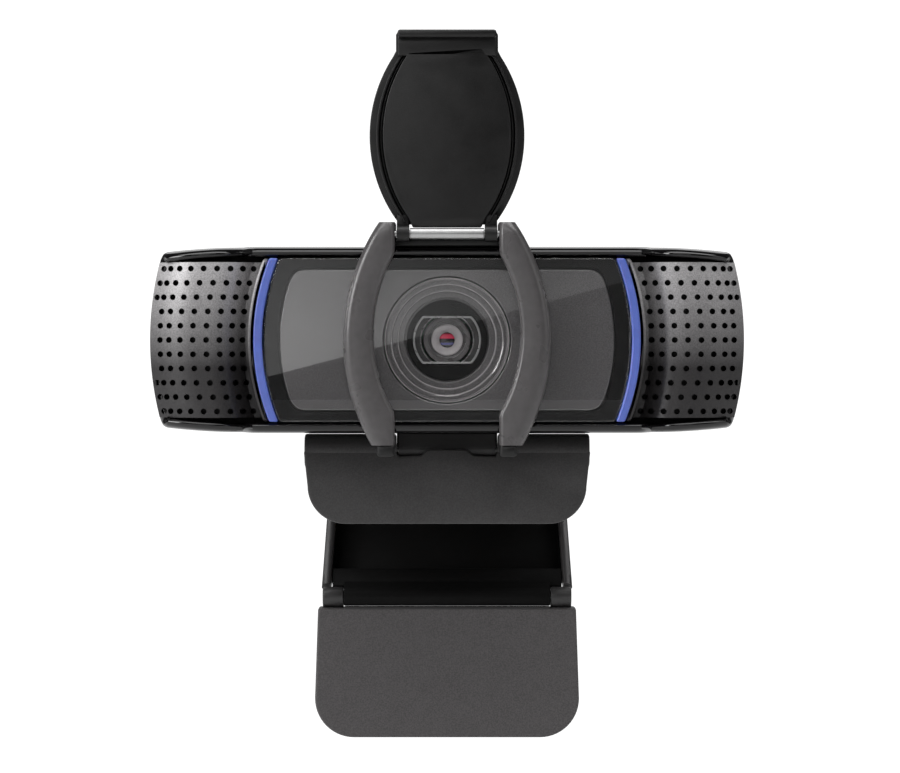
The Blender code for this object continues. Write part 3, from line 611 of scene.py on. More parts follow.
def make_bezel():
    lip = [(1.5, 1.3), (1.47, 0.6), (1.35, 0.2), (1.15, 0.02), (0.95, 0.0), (0.75, 0.1)]
    lip += [(0.55, 0.28), (0.36, 0.55), (0.18, 0.95), (0.06, 1.45), (0.0, 2.2)]
    profile = [(inset, lambda x, up, drop=drop: lip_depth(x, up, drop)) for inset, drop in lip]
    seam = HOUSING_SPLIT + 0.3
    for inset, depth in ((0.0, seam + 0.25), (0.2, seam), (1.5, seam)):
        profile.append((inset, lambda x, up, depth=depth: depth))
    bezel = head_shell("glossy_bezel", profile)
    finish_piece(bezel, "head", "gloss_black", "gloss_black", "front_bezel")

    groove = [(0.35, seam + 0.4), (0.35, seam - 0.6), (1.2, seam - 0.6), (1.2, seam + 0.4)]
    profile = [(inset, lambda x, up, depth=depth: depth) for inset, depth in groove]
    finish_piece(head_shell("casing_seam", profile), "head", "deep_black", "matte_black")


def make_rear():
    """The back: walls from the seam, a rounded edge and a gently crowned rear face."""
    start = HOUSING_SPLIT - 0.05
    rounding = 4.6
    crown_rise = 0.7
    depths = [(1.4, start - 2.0), (1.4, start), (0.2, start), (0.0, start - 0.25)]
    steps = 10
    for step in range(steps + 1):
        angle = math.pi / 2 * step / steps
        inset = rounding * (1 - math.cos(angle))
        depths.append((inset, HEAD_BACK + crown_rise + rounding * (1 - math.sin(angle))))
    points = loop_with_normals(head_loop())
    rings = []
    for inset, depth in depths:
        ring = [(x + nx * inset, -depth, up + nu * inset + LENS_Z) for x, up, nx, nu in points]
        rings.append(ring)
    last = rings[-1]
    crown_rings = 8
    for step in range(1, crown_rings + 1):
        share = 1 - step / (crown_rings + 1)
        rise = crown_rise * (1 - share * share)
        rings.append([(x * share, y + rise, LENS_Z + (z - LENS_Z) * share) for x, y, z in last])
    rear = loft("rounded_back", rings, False, True, True)
    finish_piece(rear, "head", "matte_black", "matte_black", "rear_casing")


def strip_outline(inner, outer, half_height, side):
    """A strip between two arcs that bow outwards, on one side of the head."""
    ups = spaced(-half_height, half_height, 24)
    far = [(side * side_reach(outer, WINDOW_BOW, up), up + LENS_Z) for up in ups]
    near = [(side * side_reach(inner, WINDOW_BOW, up), up + LENS_Z) for up in reversed(ups)]
    return far + near


def make_front():
    window_low, window_high = box_mm("front_window")
    half_height = (window_high[2] - window_low[2]) / 2
    outline = bowed_outline(window_high[0], half_height, WINDOW_BOW, 0.6)
    window = slab("clear_front_window", [outline], WINDOW_FRONT, WINDOW_FRONT - 1.0, 0.22)
    finish_piece(window, "head", "clear_window", "clear_window", "front_window")
    window.visible_shadow = False

    plate_front = -box_mm("face_plate")[0][1]
    plate_high = box_mm("face_plate")[1]
    plate_half_height = plate_high[2] - LENS_Z
    hole = circle(10.0, (0, LENS_Z), 96)
    plate = bowed_outline(plate_high[0], plate_half_height, PLATE_BOW, 1.8)
    face = slab("sparkle_face_plate", [plate, hole], plate_front, plate_front - 0.7, 0.15)
    finish_piece(face, "head", "plate_grey", "plate_grey", "face_plate")
    hole = bowed_outline(plate_high[0] + 0.3, plate_half_height + 0.3, PLATE_BOW, 1.9)
    border = slab("black_window_border", [outline, hole], plate_front, plate_front - 0.7, 0.1)
    finish_piece(border, "head", "border_black", "gloss_black", "window_border")
    backing = slab("plate_shadow_gap", [outline, circle(9.9, (0, LENS_Z), 64)], 35.68, 35.3, 0.05)
    finish_piece(backing, "head", "deep_black", "matte_black")

    for side, word in ((-1, "left"), (1, "right")):
        guide_inner = window_high[0] + 0.25
        guide_front = -box_mm(f"{word}_light_guide")[0][1]
        guide = strip_outline(guide_inner, guide_inner + 1.35, half_height, side)
        piece = slab(f"{word}_blue_light_guide", [guide], guide_front, 33.9, 0.3, 4)
        node = f"{word}_light_guide"
        finish_piece(piece, "head", "guide_blue", "guide_blue", node)
        strip = strip_outline(guide_inner + 1.42, guide_inner + 2.3, half_height, side)
        piece = slab(f"{word}_bevel_strip", [strip], 36.9, 31.0, 0.55, 4)
        finish_piece(piece, "head", "grille_grey", "grille_grey")


HOLE_RADIUS = 0.47
HOLE_PITCH_Z = 2.24
HOLE_PITCH_X = 2.13
FIRST_HOLE_X = 32.2
HOLE_ROWS = 11
WIDEST_PITCH_X, PITCH_REACH = 38.7, 11.0


def wing_stations():
    """X places of the holes, closer together where the wing turns away at either side."""
    places = [FIRST_HOLE_X]
    while places[-1] < HEAD_HALF_WIDTH:
        x = places[-1] + HOLE_PITCH_X / 2
        narrowing = ((x - WIDEST_PITCH_X) / PITCH_REACH) ** 2
        places.append(places[-1] + HOLE_PITCH_X * (1 - narrowing))
    return places


def curved_sheet(name, front, thickness):
    """A closed sheet behind a grid of points, thickened straight back."""
    shape = bmesh.new()
    grids = []
    for drop in (0.0, thickness):
        grids.append([[shape.verts.new((x, y + drop, z)) for x, y, z in line] for line in front])
    for grid in grids:
        for first, second in zip(grid, grid[1:]):
            for left in range(len(first) - 1):
                shape.faces.new((first[left], first[left + 1], second[left + 1], second[left]))
    rims = []
    for grid in grids:
        rim = grid[0] + [line[-1] for line in grid[1:]] + grid[-1][-2::-1]
        rims.append(rim + [line[0] for line in grid[-2:0:-1]])
    for index in range(len(rims[0])):
        after = (index + 1) % len(rims[0])
        shape.faces.new((rims[0][index], rims[0][after], rims[1][after], rims[1][index]))
    return as_object(name, mesh_from(name, shape), 30)


def make_grilles():
    inner_edge = GUIDE_OUTER + 1.05
    for side, word in ((-1, "left"), (1, "right")):
        front = []
        for up in spaced(-GRILLE_HALF_HEIGHT, GRILLE_HALF_HEIGHT, 30):
            near = side_reach(inner_edge, WINDOW_BOW, up)
            far = side_reach(HEAD_HALF_WIDTH - 0.12, HEAD_SIDE_RADIUS, up)
            shift = near - inner_edge
            line = []
            for x in spaced(near, far, 40):
                line.append((side * x, -wing_depth(max(x - shift * 0.6, 31.9)), up + LENS_Z))
            front.append(line)
        sheet = curved_sheet(f"{word}_grille_blank", front, 1.1)

        drill = bmesh.new()
        for row in range(HOLE_ROWS):
            up = (row - (HOLE_ROWS - 1) / 2) * HOLE_PITCH_Z
            shift = side_reach(GUIDE_OUTER, GRID_BOW, up) - GUIDE_OUTER
            far = side_reach(HEAD_HALF_WIDTH - 0.75, HEAD_SIDE_RADIUS, up)
            for place in wing_stations():
                x = place + shift
                if x > far:
                    continue
                centre = Vector((side * x, -wing_depth(place), up + LENS_Z))
                bmesh.ops.create_cone(
                    drill,
                    cap_ends=True,
                    segments=18,
                    radius1=HOLE_RADIUS,
                    radius2=HOLE_RADIUS,
                    depth=6.0,
                    matrix=Matrix.Translation(centre) @ FRONT_TURN,
                )
        cutter = as_object("drills", mesh_from("drills", drill))
        holes = sheet.modifiers.new("holes", "BOOLEAN")
        holes.object = cutter
        holes.solver = "EXACT"
        graph = bpy.context.evaluated_depsgraph_get()
        cut_mesh = bpy.data.meshes.new_from_object(sheet.evaluated_get(graph))
        bpy.data.objects.remove(cutter)
        bpy.data.objects.remove(sheet)
        grille = as_object(f"{word}_perforated_grille", cut_mesh, 30)
        finish_piece(grille, "head", "grille_grey", "grille_grey", f"{word}_grille")

        backing = [[(x, y + 1.7, z) for x, y, z in line] for line in front[::3]]
        felt = curved_sheet(f"{word}_grille_felt", backing, 0.3)
        finish_piece(felt, "head", "deep_black", "matte_black")


# ---------------------------------------------------------------- optics


def make_optics():
    top = -box_mm("lens_hood")[0][1]
    hood = [(9.75, top - 0.25), (9.75, top - 3.2), (5.9, top - 3.2), (5.9, 34.05), (6.6, 34.05)]
    hood += [(6.6, 35.2), (6.75, 35.35), (7.55, 35.35), (7.62, 35.5), (7.68, 35.75)]
    hood += [(7.85, 35.85), (8.55, 35.85), (8.63, 36.0), (8.7, 36.25), (8.85, 36.35)]
    hood += [(9.35, 36.35), (9.45, 36.55), (9.6, top - 0.02)]
    hood = lathe("stepped_lens_hood", hood, 128)
    finish_piece(hood, "head", "plate_grey", "plate_grey", "lens_hood")
    # Painted highlights: thin pale rings on the hood's step edges stand in for the light those
    # edges catch.
    ridges = []
    for radius, depth in ((7.67, 35.78), (8.7, 36.28), (9.7, top)):
        ridge = [(radius - 0.07, depth - 0.2), (radius - 0.07, depth + 0.02)]
        ridge += [(radius + 0.07, depth + 0.02), (radius + 0.07, depth - 0.2)]
        ridges.append(lathe("ridge", ridge, 128))
    finish_piece(joined("hood_painted_highlight_lines", ridges), "head", "painted_highlight_grey", "plate_grey")

    opening = circle(5.4, (0, LENS_Z), 96, 3.8)
    mask = slab("aperture_mask_disc", [circle(6.35, (0, LENS_Z), 96), opening], 34.8, 34.35, 0.08)
    finish_piece(mask, "head", "border_black", "matte_black", "aperture_mask")
    inner = circle(5.36, (0, LENS_Z), 96, 3.76)
    cutout = circle(5.02, (0, LENS_Z), 96, 3.42)
    rim = slab("aperture_rim", [inner, cutout], 34.74, 34.0, 0.08)
    finish_piece(rim, "head", "satin_steel", "matte_black")
    rings = [circle(5.8, (0, LENS_Z), 64), circle(4.25, (0, LENS_Z), 64)]
    wall = slab("aperture_wall", rings, 33.95, 33.75, 0.05)
    finish_piece(wall, "head", "deep_black", "matte_black")

    barrel = [(3.72, 33.35), (3.72, 26.6), (2.2, 26.6), (2.2, 31.2), (2.62, 31.2), (2.62, 32.9)]
    barrel += [(2.9, 33.0), (2.93, 33.3), (3.0, 33.55), (3.45, 33.6), (3.65, 33.55)]
    barrel = lathe("threaded_lens_barrel", barrel)
    finish_piece(barrel, "lens", "frame_grey", "matte_black", "lens_barrel")
    # The metal retaining ring is pale matte grey: its own light tone plus a painted shine in
    # place of reflections.
    ring = [(2.5, 33.0), (2.5, 32.6), (1.2, 32.35), (1.2, 32.5), (1.3, 32.62), (1.8, 32.9)]
    ring += [(2.3, 33.08)]
    ring = lathe("lens_front_ring", ring)
    finish_piece(ring, "lens", "ring_painted_shine_grey", "steel", "lens_retaining_ring")
    dome = [(0, 32.3)]
    for step in range(1, 9):
        radius = 2.45 * step / 8
        dome.append((radius, 32.3 - 0.75 * (step / 8) ** 2))
    dome += [(2.45, 31.25), (0, 31.25)]
    glass = lathe("domed_front_lens", dome)
    finish_piece(glass, "lens", "lens_glass", "lens_glass", "front_lens_element")


# ---------------------------------------------------------------- shutter

HINGE_Y = -38.3
HINGE_Z = (box_mm("shutter_hinge_rod")[0][2] + box_mm("shutter_hinge_rod")[1][2]) / 2
ARM_LOW, ARM_HIGH = box_mm("shutter_frame")


def arm_edges(up):
    """Inner and outer half widths of a shutter arm at a height above the lens."""
    inner = max(side_reach(11.5, 25.0, up, 1.0), 8.15)
    outer = side_reach(16.2, 33.2, up)
    return inner, outer


def make_arms():
    front = -ARM_LOW[1]
    back = 38.28
    pieces = []
    stations = 48
    ups = spaced(ARM_LOW[2] - LENS_Z + 1.75, ARM_HIGH[2] - LENS_Z, stations)
    for side in (-1, 1):
        rings = []
        for step, up in enumerate(ups):
            inner, outer = arm_edges(up)
            end = min(step, stations - step)
            sink = (0.75, 0.25, 0.05, 0.0)[min(end, 3)] if step > stations / 2 else 0.0
            bevel = min(1.9, outer - inner - 1.1)
            section = [(outer - 0.1, back), (outer, front - 1.5 - sink)]
            for step_out in range(1, 8):
                angle = math.pi / 2 * step_out / 7
                rise = 1.5 * math.sin(angle)
                section.append((outer - bevel * (1 - math.cos(angle)), front - 1.5 - sink + rise))
            section += [(inner + 0.85, front - sink), (inner + 0.5, front - 0.12 - sink)]
            section += [(inner + 0.2, front - 0.4 - sink), (inner + 0.05, front - 0.75 - sink)]
            section += [(inner, front - 1.1 - sink), (inner, back)]
            rings.append([(side * x, -forward, up + LENS_Z) for x, forward in section])
        pieces.append(loft(f"arm{side}", rings, False, True, True, 50))
    arms = joined("curved_shutter_arms", pieces)
    finish_piece(arms, "head", "frame_grey", "frame_grey", "shutter_frame")

    top = LENS_Z + HEAD_HALF_HEIGHT + 0.3
    bottom = LENS_Z - HEAD_HALF_HEIGHT - 0.3
    pieces = [block("bridge", (-10.6, -36.6, top - 0.28), (10.6, -30, top + 1.2), 0.3)]
    # Painted shade: the belly and knuckle root are near-black fillers under the head, standing in
    # for the shade there.
    belly = block("belly", (-22.0, -26.0, 5.42), (22.0, -18.0, 5.95), 0.1)
    root = block("knuckle_root", (-7.99, -26.4, 3.3), (7.99, -24.3, 5.9), 0.1)
    finish_piece(joined("head_belly_shade_filler", [belly, root]), "head", "border_black", "matte_black")
    for side in (-1, 1):
        low_x, high_x = sorted((side * 7.97, side * 10.8))
        pieces.append(block("lug", (low_x, -38.4, top), (high_x, -35.5, top + 3.5), 0.4))
        pieces.append(block("hook", (low_x, -38.4, bottom - 1.1), (high_x, -34, bottom), 0.3))
        low_x, high_x = sorted((side * 8.2, side * 10.95))
        end_top = ARM_LOW[2] + 1.85
        toe = block("toe", (low_x, -40.2, ARM_LOW[2]), (high_x, -37.9, end_top), 0.5)
        pieces.append(toe)
    clips = joined("shutter_frame_clips", pieces)
    finish_piece(clips, "head", "flap_black", "frame_grey")
    rod = [(0, 9.6), (0.5, 9.6), (0.5, 5.83), (0.8, 5.8), (0.88, 5.74), (0.9, 5.65)]
    rod += [(0.9, -5.65), (0.88, -5.74), (0.8, -5.8), (0.5, -5.83), (0.5, -9.6), (0, -9.6)]
    pin = lathe("polished_hinge_rod", rod, 48, 0.0, HINGE_Y, HINGE_Z, AXLE_TURN)
    finish_piece(pin, "head", "steel", "steel", "shutter_hinge_rod")


def flap_half(up):
    """Half width of the flap at a height above its hinge."""
    return max(side_reach(12.15, 22.8, min(up, 28.5), 15.4), 7.85)


def flap_rail(side, outer, inner, low, high):
    """A strip that follows one side of the flap, between two insets from its edge."""
    ups = spaced(low, high, 40)
    far = [(side * (flap_half(up) - outer), up + HINGE_Z) for up in ups]
    return far + [(side * (flap_half(up) - inner), up + HINGE_Z) for up in reversed(ups)]


def flap_outline(inset, low, high, corner=0.8):
    """The flap's outline between two heights above its hinge."""
    right = []
    for up in spaced(low, high, 36):
        nearest = min(up - low, high - up)
        trim = 0
        if nearest < corner:
            trim = corner - math.sqrt(max(corner**2 - (corner - nearest) ** 2, 0))
        right.append((flap_half(up) - inset - trim, up + HINGE_Z))
    return mirrored(right)


def make_flap():
    front = -HINGE_Y - 0.3
    step = -HINGE_Y - 2.5
    back = -HINGE_Y - 3.4
    low = 1.5
    high = box_mm("shutter_flap")[1][2] - HINGE_Z
    flange = slab("flap_flange", [flap_outline(0, low, high, 0.5)], step, back, 0.2)
    panel = slab("flap_panel", [flap_outline(2.1, 1.02, 29.1, 0.4)], front, step - 0.2, 0.2)
    rails = []
    for side in (-1, 1):
        band = flap_rail(side, 1.05, 1.5, low + 0.2, 28.6)
        rails.append(slab("flap_band", [band], front - 0.35, step - 0.3, 0.15))
        ridge = flap_rail(side, 1.7, 1.95, low + 0.4, 28.4)
        rails.append(slab("flap_ridge", [ridge], front - 0.8, step - 0.3, 0.08))
    tab_low = HINGE_Z + high - 1.45
    tab_high = HINGE_Z + high
    tab = block("flap_tab", (-7.7, HINGE_Y - 0.6, tab_low), (7.7, -back, tab_high - 0.25), 0.3)
    low_corner = (-7.7, -front, HINGE_Z + 28.4 - 0.6)
    step_block = block("tab_step", low_corner, (7.7, -step + 0.3, tab_low + 0.2), 0.25)
    pieces = [flange, panel, *rails, tab, step_block]
    for side in (-1, 1):
        near, far = sorted((side * 5.9, side * 7.85))
        hub = [(1.28, far), (1.28, near), (0.8, near), (0.8, far)]
        pieces.append(lathe("hub", hub, 40, 0.0, HINGE_Y, HINGE_Z, AXLE_TURN))
        low_corner = (near, HINGE_Y + 0.85, HINGE_Z + 0.3)
        pieces.append(block("web", low_corner, (far, HINGE_Y + 2.9, HINGE_Z + 3), 0.2))
    flap = joined("flip_up_shutter_flap", pieces)
    finish_piece(flap, "shutter", "flap_black", "matte_black", "shutter_flap")


# ---------------------------------------------------------------- monitor clip

CLIP_LOW, CLIP_HIGH = box_mm("clip_top")
TILT_Y, TILT_Z = -27.0, 2.7
LEG_AXIS = (29.8, -1.9)
FOOT_AXIS = (15.0, -23.0)
LEG_SPIN = math.atan2(FOOT_AXIS[0] - LEG_AXIS[0], LEG_AXIS[1] - FOOT_AXIS[1])
LEG_LENGTH = math.hypot(FOOT_AXIS[0] - LEG_AXIS[0], FOOT_AXIS[1] - LEG_AXIS[1])


def skirt_outline(top_half, bottom_half, top, bottom, corner, top_corner=0.0, notch=()):
    """A straight top, slightly sloping sides and rounded bottom corners."""
    steps = 14
    right = []
    if top_corner:
        for step in range(7):
            angle = math.pi / 2 * step / 6
            across = top_half - top_corner + top_corner * math.sin(angle)
            right.append((across, top - top_corner + top_corner * math.cos(angle)))
    else:
        right.append((top_half, top))
    for step in range(steps + 1):
        angle = math.pi / 2 * step / steps
        across = bottom_half - corner + corner * math.cos(angle)
        right.append((across, bottom + corner - corner * math.sin(angle)))
    return mirrored(right) + list(notch)


def hull(points):
    """The convex outline around a set of points."""

    def chain(ordered):
        kept = []
        for point in ordered:
            while len(kept) > 1:
                (ax, ay), (bx, by) = kept[-2:]
                if (bx - ax) * (point[1] - ay) - (by - ay) * (point[0] - ax) > 0:
                    break
                kept.pop()
            kept.append(point)
        return kept[:-1]

    ordered = sorted(points)
    return chain(ordered) + chain(ordered[::-1])


def make_clip():
    half = CLIP_HIGH[0]
    front = -CLIP_LOW[1]
    notch = [(-8.1, TILT_Z), (-7.7, 1.9), (-4.2, 2.0), (-3.0, 3.0), (3.0, 3.0), (4.2, 2.0)]
    notch += [(7.7, 1.9), (8.1, TILT_Z)]
    lip = skirt_outline(half, half - 0.6, TILT_Z, CLIP_LOW[2], 6.0, 0.0, notch)
    face = slab("lip_face", [lip], front, front - 0.75, 0.32, 4)
    back = skirt_outline(half - 0.35, half - 0.9, 0.2, CLIP_LOW[2] + 0.35, 5.6)
    body = slab("lip_body", [back], front - 0.6, front - 2.0, 0.3)
    pieces = [face, body]
    for side in (-1, 1):
        near, far = sorted((side * 8.02, side * (half - 0.1)))
        roll = [(0, far), (2.3, far), (2.6, far - 0.12), (2.7, far - 0.4)]
        roll += [(2.7, near + 0.4), (2.6, near + 0.12), (2.3, near), (0, near)]
        pieces.append(lathe("roll", roll, 64, 0.0, TILT_Y, TILT_Z, AXLE_TURN))
    plate_high = 2.6
    for side in (-1, 1):
        near, far = sorted((side * 8.0, side * (half - 0.2)))
        low = (near, TILT_Y + 0.5, 1.1)
        pieces.append(block("deck_side", low, (far, -20.0, plate_high), 0.25))
    low = (0.2 - half, -23.7, 1.1)
    pieces.append(block("deck", low, (half - 0.2, LEG_AXIS[0] - 3.5, plate_high), 0.35))
    low = (0.4 - half, -28.2, -0.2)
    pieces.append(block("lip_web", low, (half - 0.4, TILT_Y + 1.7, 0.55), 0.15))
    barrel = hull([*circle(3.0), (-4.7, 3.2), (-4.7, 4.3)])
    barrel = [(y + LEG_AXIS[0], up + LEG_AXIS[1]) for y, up in barrel]
    pieces.append(side_slab("leg_barrel", barrel, -16.7, 16.7, 0.3))
    boss = [(4.1, 2.4), (4.1, 4.3), (4.3, 4.55), (5.3, 4.55), (5.6, 4.25), (5.6, 2.4)]
    pieces.append(lathe("boss", boss[::-1], 64, 0.0, 8.0, 0.0, Matrix.Identity(4)))
    clip = joined("clip_deck_and_lip", pieces)
    finish_piece(clip, "clip", "soft_grey", "soft_grey", "clip_top")


def leg_turn():
    spot = Matrix.Translation((0, LEG_AXIS[0] * MM, LEG_AXIS[1] * MM))
    return spot @ Matrix.Rotation(LEG_SPIN, 4, "X")


def make_leg():
    """Modelled hanging along -Z of its hinge, then turned into place."""
    rear = 4.0
    pieces = []
    wall_bottom = 2.0 - LEG_LENGTH
    for side in (-1, 1):
        rings = []
        for up in spaced(-3.0, wall_bottom, 20):
            outer = 20.1 + 1.2 * min(-up / LEG_LENGTH, 1.0)
            back = rear - max(0.0, (4.6 - LEG_LENGTH - up)) * 1.15
            back = max(back, 0.9)
            inner = outer - 1.5
            section = [(inner + 0.12, -0.72), (inner + 0.35, -0.86), (outer - 0.7, -0.88)]
            section += [(outer - 0.25, -0.7), (outer - 0.05, -0.3), (outer, 0.3)]
            section += [(outer, back - 0.4), (outer - 0.3, back), (inner, back), (inner, -0.5)]
            rings.append([(side * x, y, up) for x, y in section])
        pieces.append(loft("wall", rings, False, True, True, 40))
        near, far = sorted((side * 17.0, side * 20.1))
        lug = hull([*circle(3.0), (-0.85, -5.0), (3.2, -5.0)])
        pieces.append(side_slab("lug", lug, near, far, 0.3))
    ring = circle(1.6, (0, -LEG_LENGTH), 40)
    knuckle = hull([*ring, (1.2, 5.4 - LEG_LENGTH), (3.2, 5.4 - LEG_LENGTH)])
    low = (-19.6, rear - 1.5, 4.8 - LEG_LENGTH)
    web = block("web", low, (19.6, rear - 0.1, -3.9), 0.2)
    low = (-19.4, -0.3, 1.85 - LEG_LENGTH)
    strip = block("strip", low, (19.4, 0.9, 5.4 - LEG_LENGTH), 0.15)
    knuckle = side_slab("knuckle", knuckle, -17.45, 17.45, 0.2)
    low = (-19.6, rear - 0.85, -4.5)
    flange = block("flange", low, (19.6, rear - 0.1, -1.2), 0.15)
    # Painted shade: the channel floor is near black, much darker than the leg's walls, for the
    # shade inside the recess.
    floor = joined("channel_floor", [web, strip, flange, knuckle])
    floor.data.transform(leg_turn())
    finish_piece(floor, "leg", "channel_painted_shade_black", "matte_black")
    leg = joined("channel_leg", pieces)
    leg.data.transform(leg_turn())
    finish_piece(leg, "leg", "leg_black", "matte_black", "rear_leg")


def make_foot():
    low, high = box_mm("foot")
    top = box_mm("foot_pad")[1][2]
    outline = skirt_outline(21.8, high[0], top, low[2], 6.6, 0.5)
    pad_front = -box_mm("foot_pad")[0][1]
    pad = slab("soft_foot_pad", [outline], pad_front, pad_front - 1.0, 0.42, 5)
    finish_piece(pad, "foot", "foot_grey", "soft_grey", "foot_pad")
    body = slab("foot_body", [outline], pad_front - 1.3, -high[1], 0.9, 5)
    low = (-17.3, FOOT_AXIS[0] - 0.85, FOOT_AXIS[1] - 2.5)
    sill = block("sill", low, (17.3, FOOT_AXIS[0] + 0.8, FOOT_AXIS[1] - 1.66), 0.1)
    pieces = [body, sill]
    for side in (-1, 1):
        near, far = sorted((side * 17.5, side * 21.0))
        ear = hull([*circle(1.6, steps=40), (0.9, -2.2), (3.0, -2.2)])
        ear = [(y + FOOT_AXIS[0], up + FOOT_AXIS[1]) for y, up in ear]
        pieces.append(side_slab("ear", ear, near, far, 0.25))
    foot = joined("swing_foot", pieces)
    finish_piece(foot, "foot", "matte_black", "matte_black", "foot")


# ---------------------------------------------------------------- pieces kept from the CAD

KEPT = {
    "board": "main_circuit_board left_led_board right_led_board",
    "chip": "image_sensor image_processor",
    "led": "left_led right_led",
    "steel": "tilt_hinge_pin leg_hinge_pin foot_hinge_pin_left foot_hinge_pin_right",
    "satin_steel": "focus_coil_housing left_microphone right_microphone housing_screw_1 "
    "housing_screw_2 housing_screw_3 housing_screw_4",
    "brass": "tripod_insert",
    "rubber": "seat_pad lip_pad cable_gland left_microphone_boot right_microphone_boot",
    "deep_black": "inner_frame lens_mount_base",
    "matte_black": "tilt_knuckle",
}


def dress_kept_nodes():
    for look, names in KEPT.items():
        for name in names.split():
            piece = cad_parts[name]
            for slot in piece.material_slots:
                slot.material = LOOKS[look]
            if not piece.material_slots:
                piece.data.materials.append(LOOKS[look])


# ---------------------------------------------------------------- stage, light and camera

CAMERA_DISTANCE = 650.0
LENS_FOCAL_MM = 166.4
SENSOR_MM = 36.0
SHIFT_X, SHIFT_Y = 0.0033, -0.0517
CARD_LEFT, CARD_RIGHT = 0.92, 0.28
AMBIENT = 0.08
FLOOR_Z = -0.075
AREA_LIGHTS = (
    ("overhead", (0.0, -0.18, 0.7), (0, -0.02, 0.02), 1.4, 0.3, 7.0),
    ("front_key", (-0.15, -0.75, 0.62), (0, -0.02, 0.0), 1.0, 0.25, 2.1),
    ("left_fill", (-0.8, -0.35, 0.3), (0, -0.02, 0.02), 0.25, 0.5, 4.6),
    ("right_fill", (0.8, -0.35, 0.3), (0, -0.02, 0.02), 0.25, 0.5, 0.6),
    ("back", (0.0, 0.8, 0.6), (0, 0, 0.02), 0.9, 0.6, 3.0),
)


def emitter(name, colour, strength):
    """A dull material that also glows white."""
    made = bpy.data.materials.new(name)
    made.use_nodes = True
    shader = made.node_tree.nodes["Principled BSDF"]
    shader.inputs["Base Color"].default_value = colour
    shader.inputs["Roughness"].default_value = 0.9
    shader.inputs["Specular IOR Level"].default_value = 0.0
    shader.inputs["Emission Color"].default_value = (1, 1, 1, 1)
    shader.inputs["Emission Strength"].default_value = strength
    return made


def staged(name, corners, look):
    """A flat stage object in metres, kept out of the part."""
    shape = bmesh.new()
    shape.faces.new([shape.verts.new(corner) for corner in corners])
    mesh = bpy.data.meshes.new(name)
    shape.to_mesh(mesh)
    shape.free()
    made = bpy.data.objects.new(name, mesh)
    made.data.materials.append(look)
    bpy.context.scene.collection.objects.link(made)
    return made


def area_light(name, place, aim, width, height, power):
    """A rectangular light in metres and watts, turned towards a point."""
    data = bpy.data.lights.new(name, "AREA")
    data.shape = "RECTANGLE"
    data.size = width
    data.size_y = height
    data.energy = power
    light = bpy.data.objects.new(name, data)
    light.location = place
    direction = Vector(aim) - Vector(place)
    light.rotation_euler = direction.to_track_quat("-Z", "Y").to_euler()
    bpy.context.scene.collection.objects.link(light)


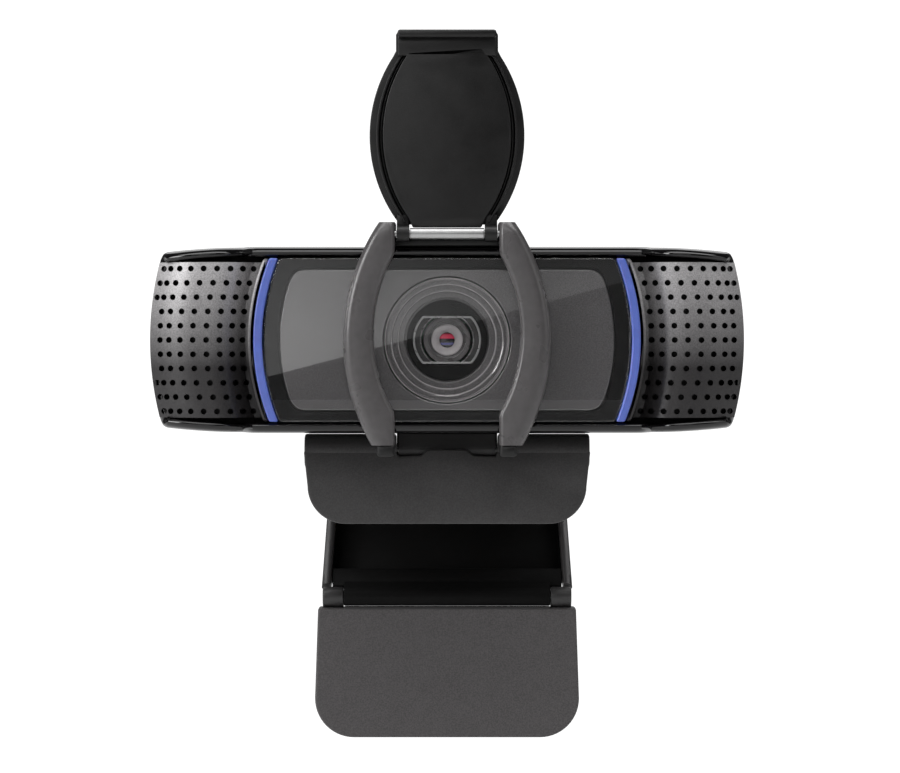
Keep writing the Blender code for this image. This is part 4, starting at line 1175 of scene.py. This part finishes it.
def make_reflection_card():
    """A slanted-edged card behind the camera, whose reflection crosses the window."""
    distance = 1.2
    y = -WINDOW_FRONT * MM - distance
    slope = 0.267
    middle = LENS_Z * MM + 0.0049
    reach = 0.6
    corners = [(-reach, y, middle - slope * reach), (reach, y, middle + slope * reach)]
    corners += [(reach, y, middle + 0.9), (-reach, y, middle + 0.9)]
    look = emitter("card", (0.0, 0.0, 0.0, 1.0), 1.0)
    tree = look.node_tree
    nodes = tree.nodes
    links = tree.links
    shader = nodes["Principled BSDF"]
    place = nodes.new("ShaderNodeTexCoord").outputs["Object"]
    mapping = nodes.new("ShaderNodeMapping")
    mapping.vector_type = "POINT"
    mapping.inputs["Location"].default_value = (0.0, 0.0, -middle)
    links.new(place, mapping.inputs["Vector"])
    split = nodes.new("ShaderNodeSeparateXYZ")
    links.new(mapping.outputs["Vector"], split.inputs["Vector"])
    across = mapped(tree, split.outputs["X"], (-0.09, 0.03), (CARD_LEFT, CARD_RIGHT))
    upward = mapped(tree, split.outputs["Z"], (0.0, 0.08), (1.0, 0.62))
    product = nodes.new("ShaderNodeMath")
    product.operation = "MULTIPLY"
    links.new(across, product.inputs[0])
    links.new(upward, product.inputs[1])
    links.new(product.outputs[0], shader.inputs["Emission Strength"])
    card = staged("reflection_card", corners, look)
    card.visible_camera = False
    card.visible_diffuse = False
    card.visible_shadow = False


def make_stage():
    floor_look = emitter("pale_floor", (0.8, 0.8, 0.8, 1.0), 0.12)
    reach = 6.0
    corners = [(-reach, -reach, FLOOR_Z), (reach, -reach, FLOOR_Z)]
    corners += [(reach, reach, FLOOR_Z), (-reach, reach, FLOOR_Z)]
    staged("pale_floor", corners, floor_look).visible_camera = False

    # The backdrop looks white to the camera and lights the object only a little.
    world = bpy.data.worlds.new("studio")
    bpy.context.scene.world = world
    world.use_nodes = True
    nodes = world.node_tree.nodes
    links = world.node_tree.links
    background = nodes["Background"]
    background.inputs["Color"].default_value = (1, 1, 1, 1)
    background.inputs["Strength"].default_value = 1.15
    dim = nodes.new("ShaderNodeBackground")
    dim.inputs["Strength"].default_value = AMBIENT
    mix = nodes.new("ShaderNodeMixShader")
    path = nodes.new("ShaderNodeLightPath")
    links.new(path.outputs["Is Camera Ray"], mix.inputs["Fac"])
    links.new(dim.outputs["Background"], mix.inputs[1])
    links.new(background.outputs["Background"], mix.inputs[2])
    links.new(mix.outputs["Shader"], nodes["World Output"].inputs["Surface"])

    for light in AREA_LIGHTS:
        area_light(*light)
    make_reflection_card()


def make_camera():
    data = bpy.data.cameras.new("camera")
    data.lens = LENS_FOCAL_MM
    data.sensor_width = SENSOR_MM
    data.sensor_fit = "HORIZONTAL"
    data.shift_x = SHIFT_X
    data.shift_y = SHIFT_Y
    camera = bpy.data.objects.new("camera", data)
    camera.location = (0, -(WINDOW_FRONT + CAMERA_DISTANCE) * MM, LENS_Z * MM)
    camera.rotation_euler = (math.pi / 2, 0, 0)
    bpy.context.scene.collection.objects.link(camera)
    bpy.context.scene.camera = camera
    bpy.context.scene.view_settings.view_transform = "Standard"


make_camera()
make_stage()
make_bezel()
make_rear()
make_front()
make_grilles()
make_optics()
make_arms()
make_flap()
make_clip()
make_leg()
make_foot()
dress_kept_nodes()

bpy.context.view_layer.update()
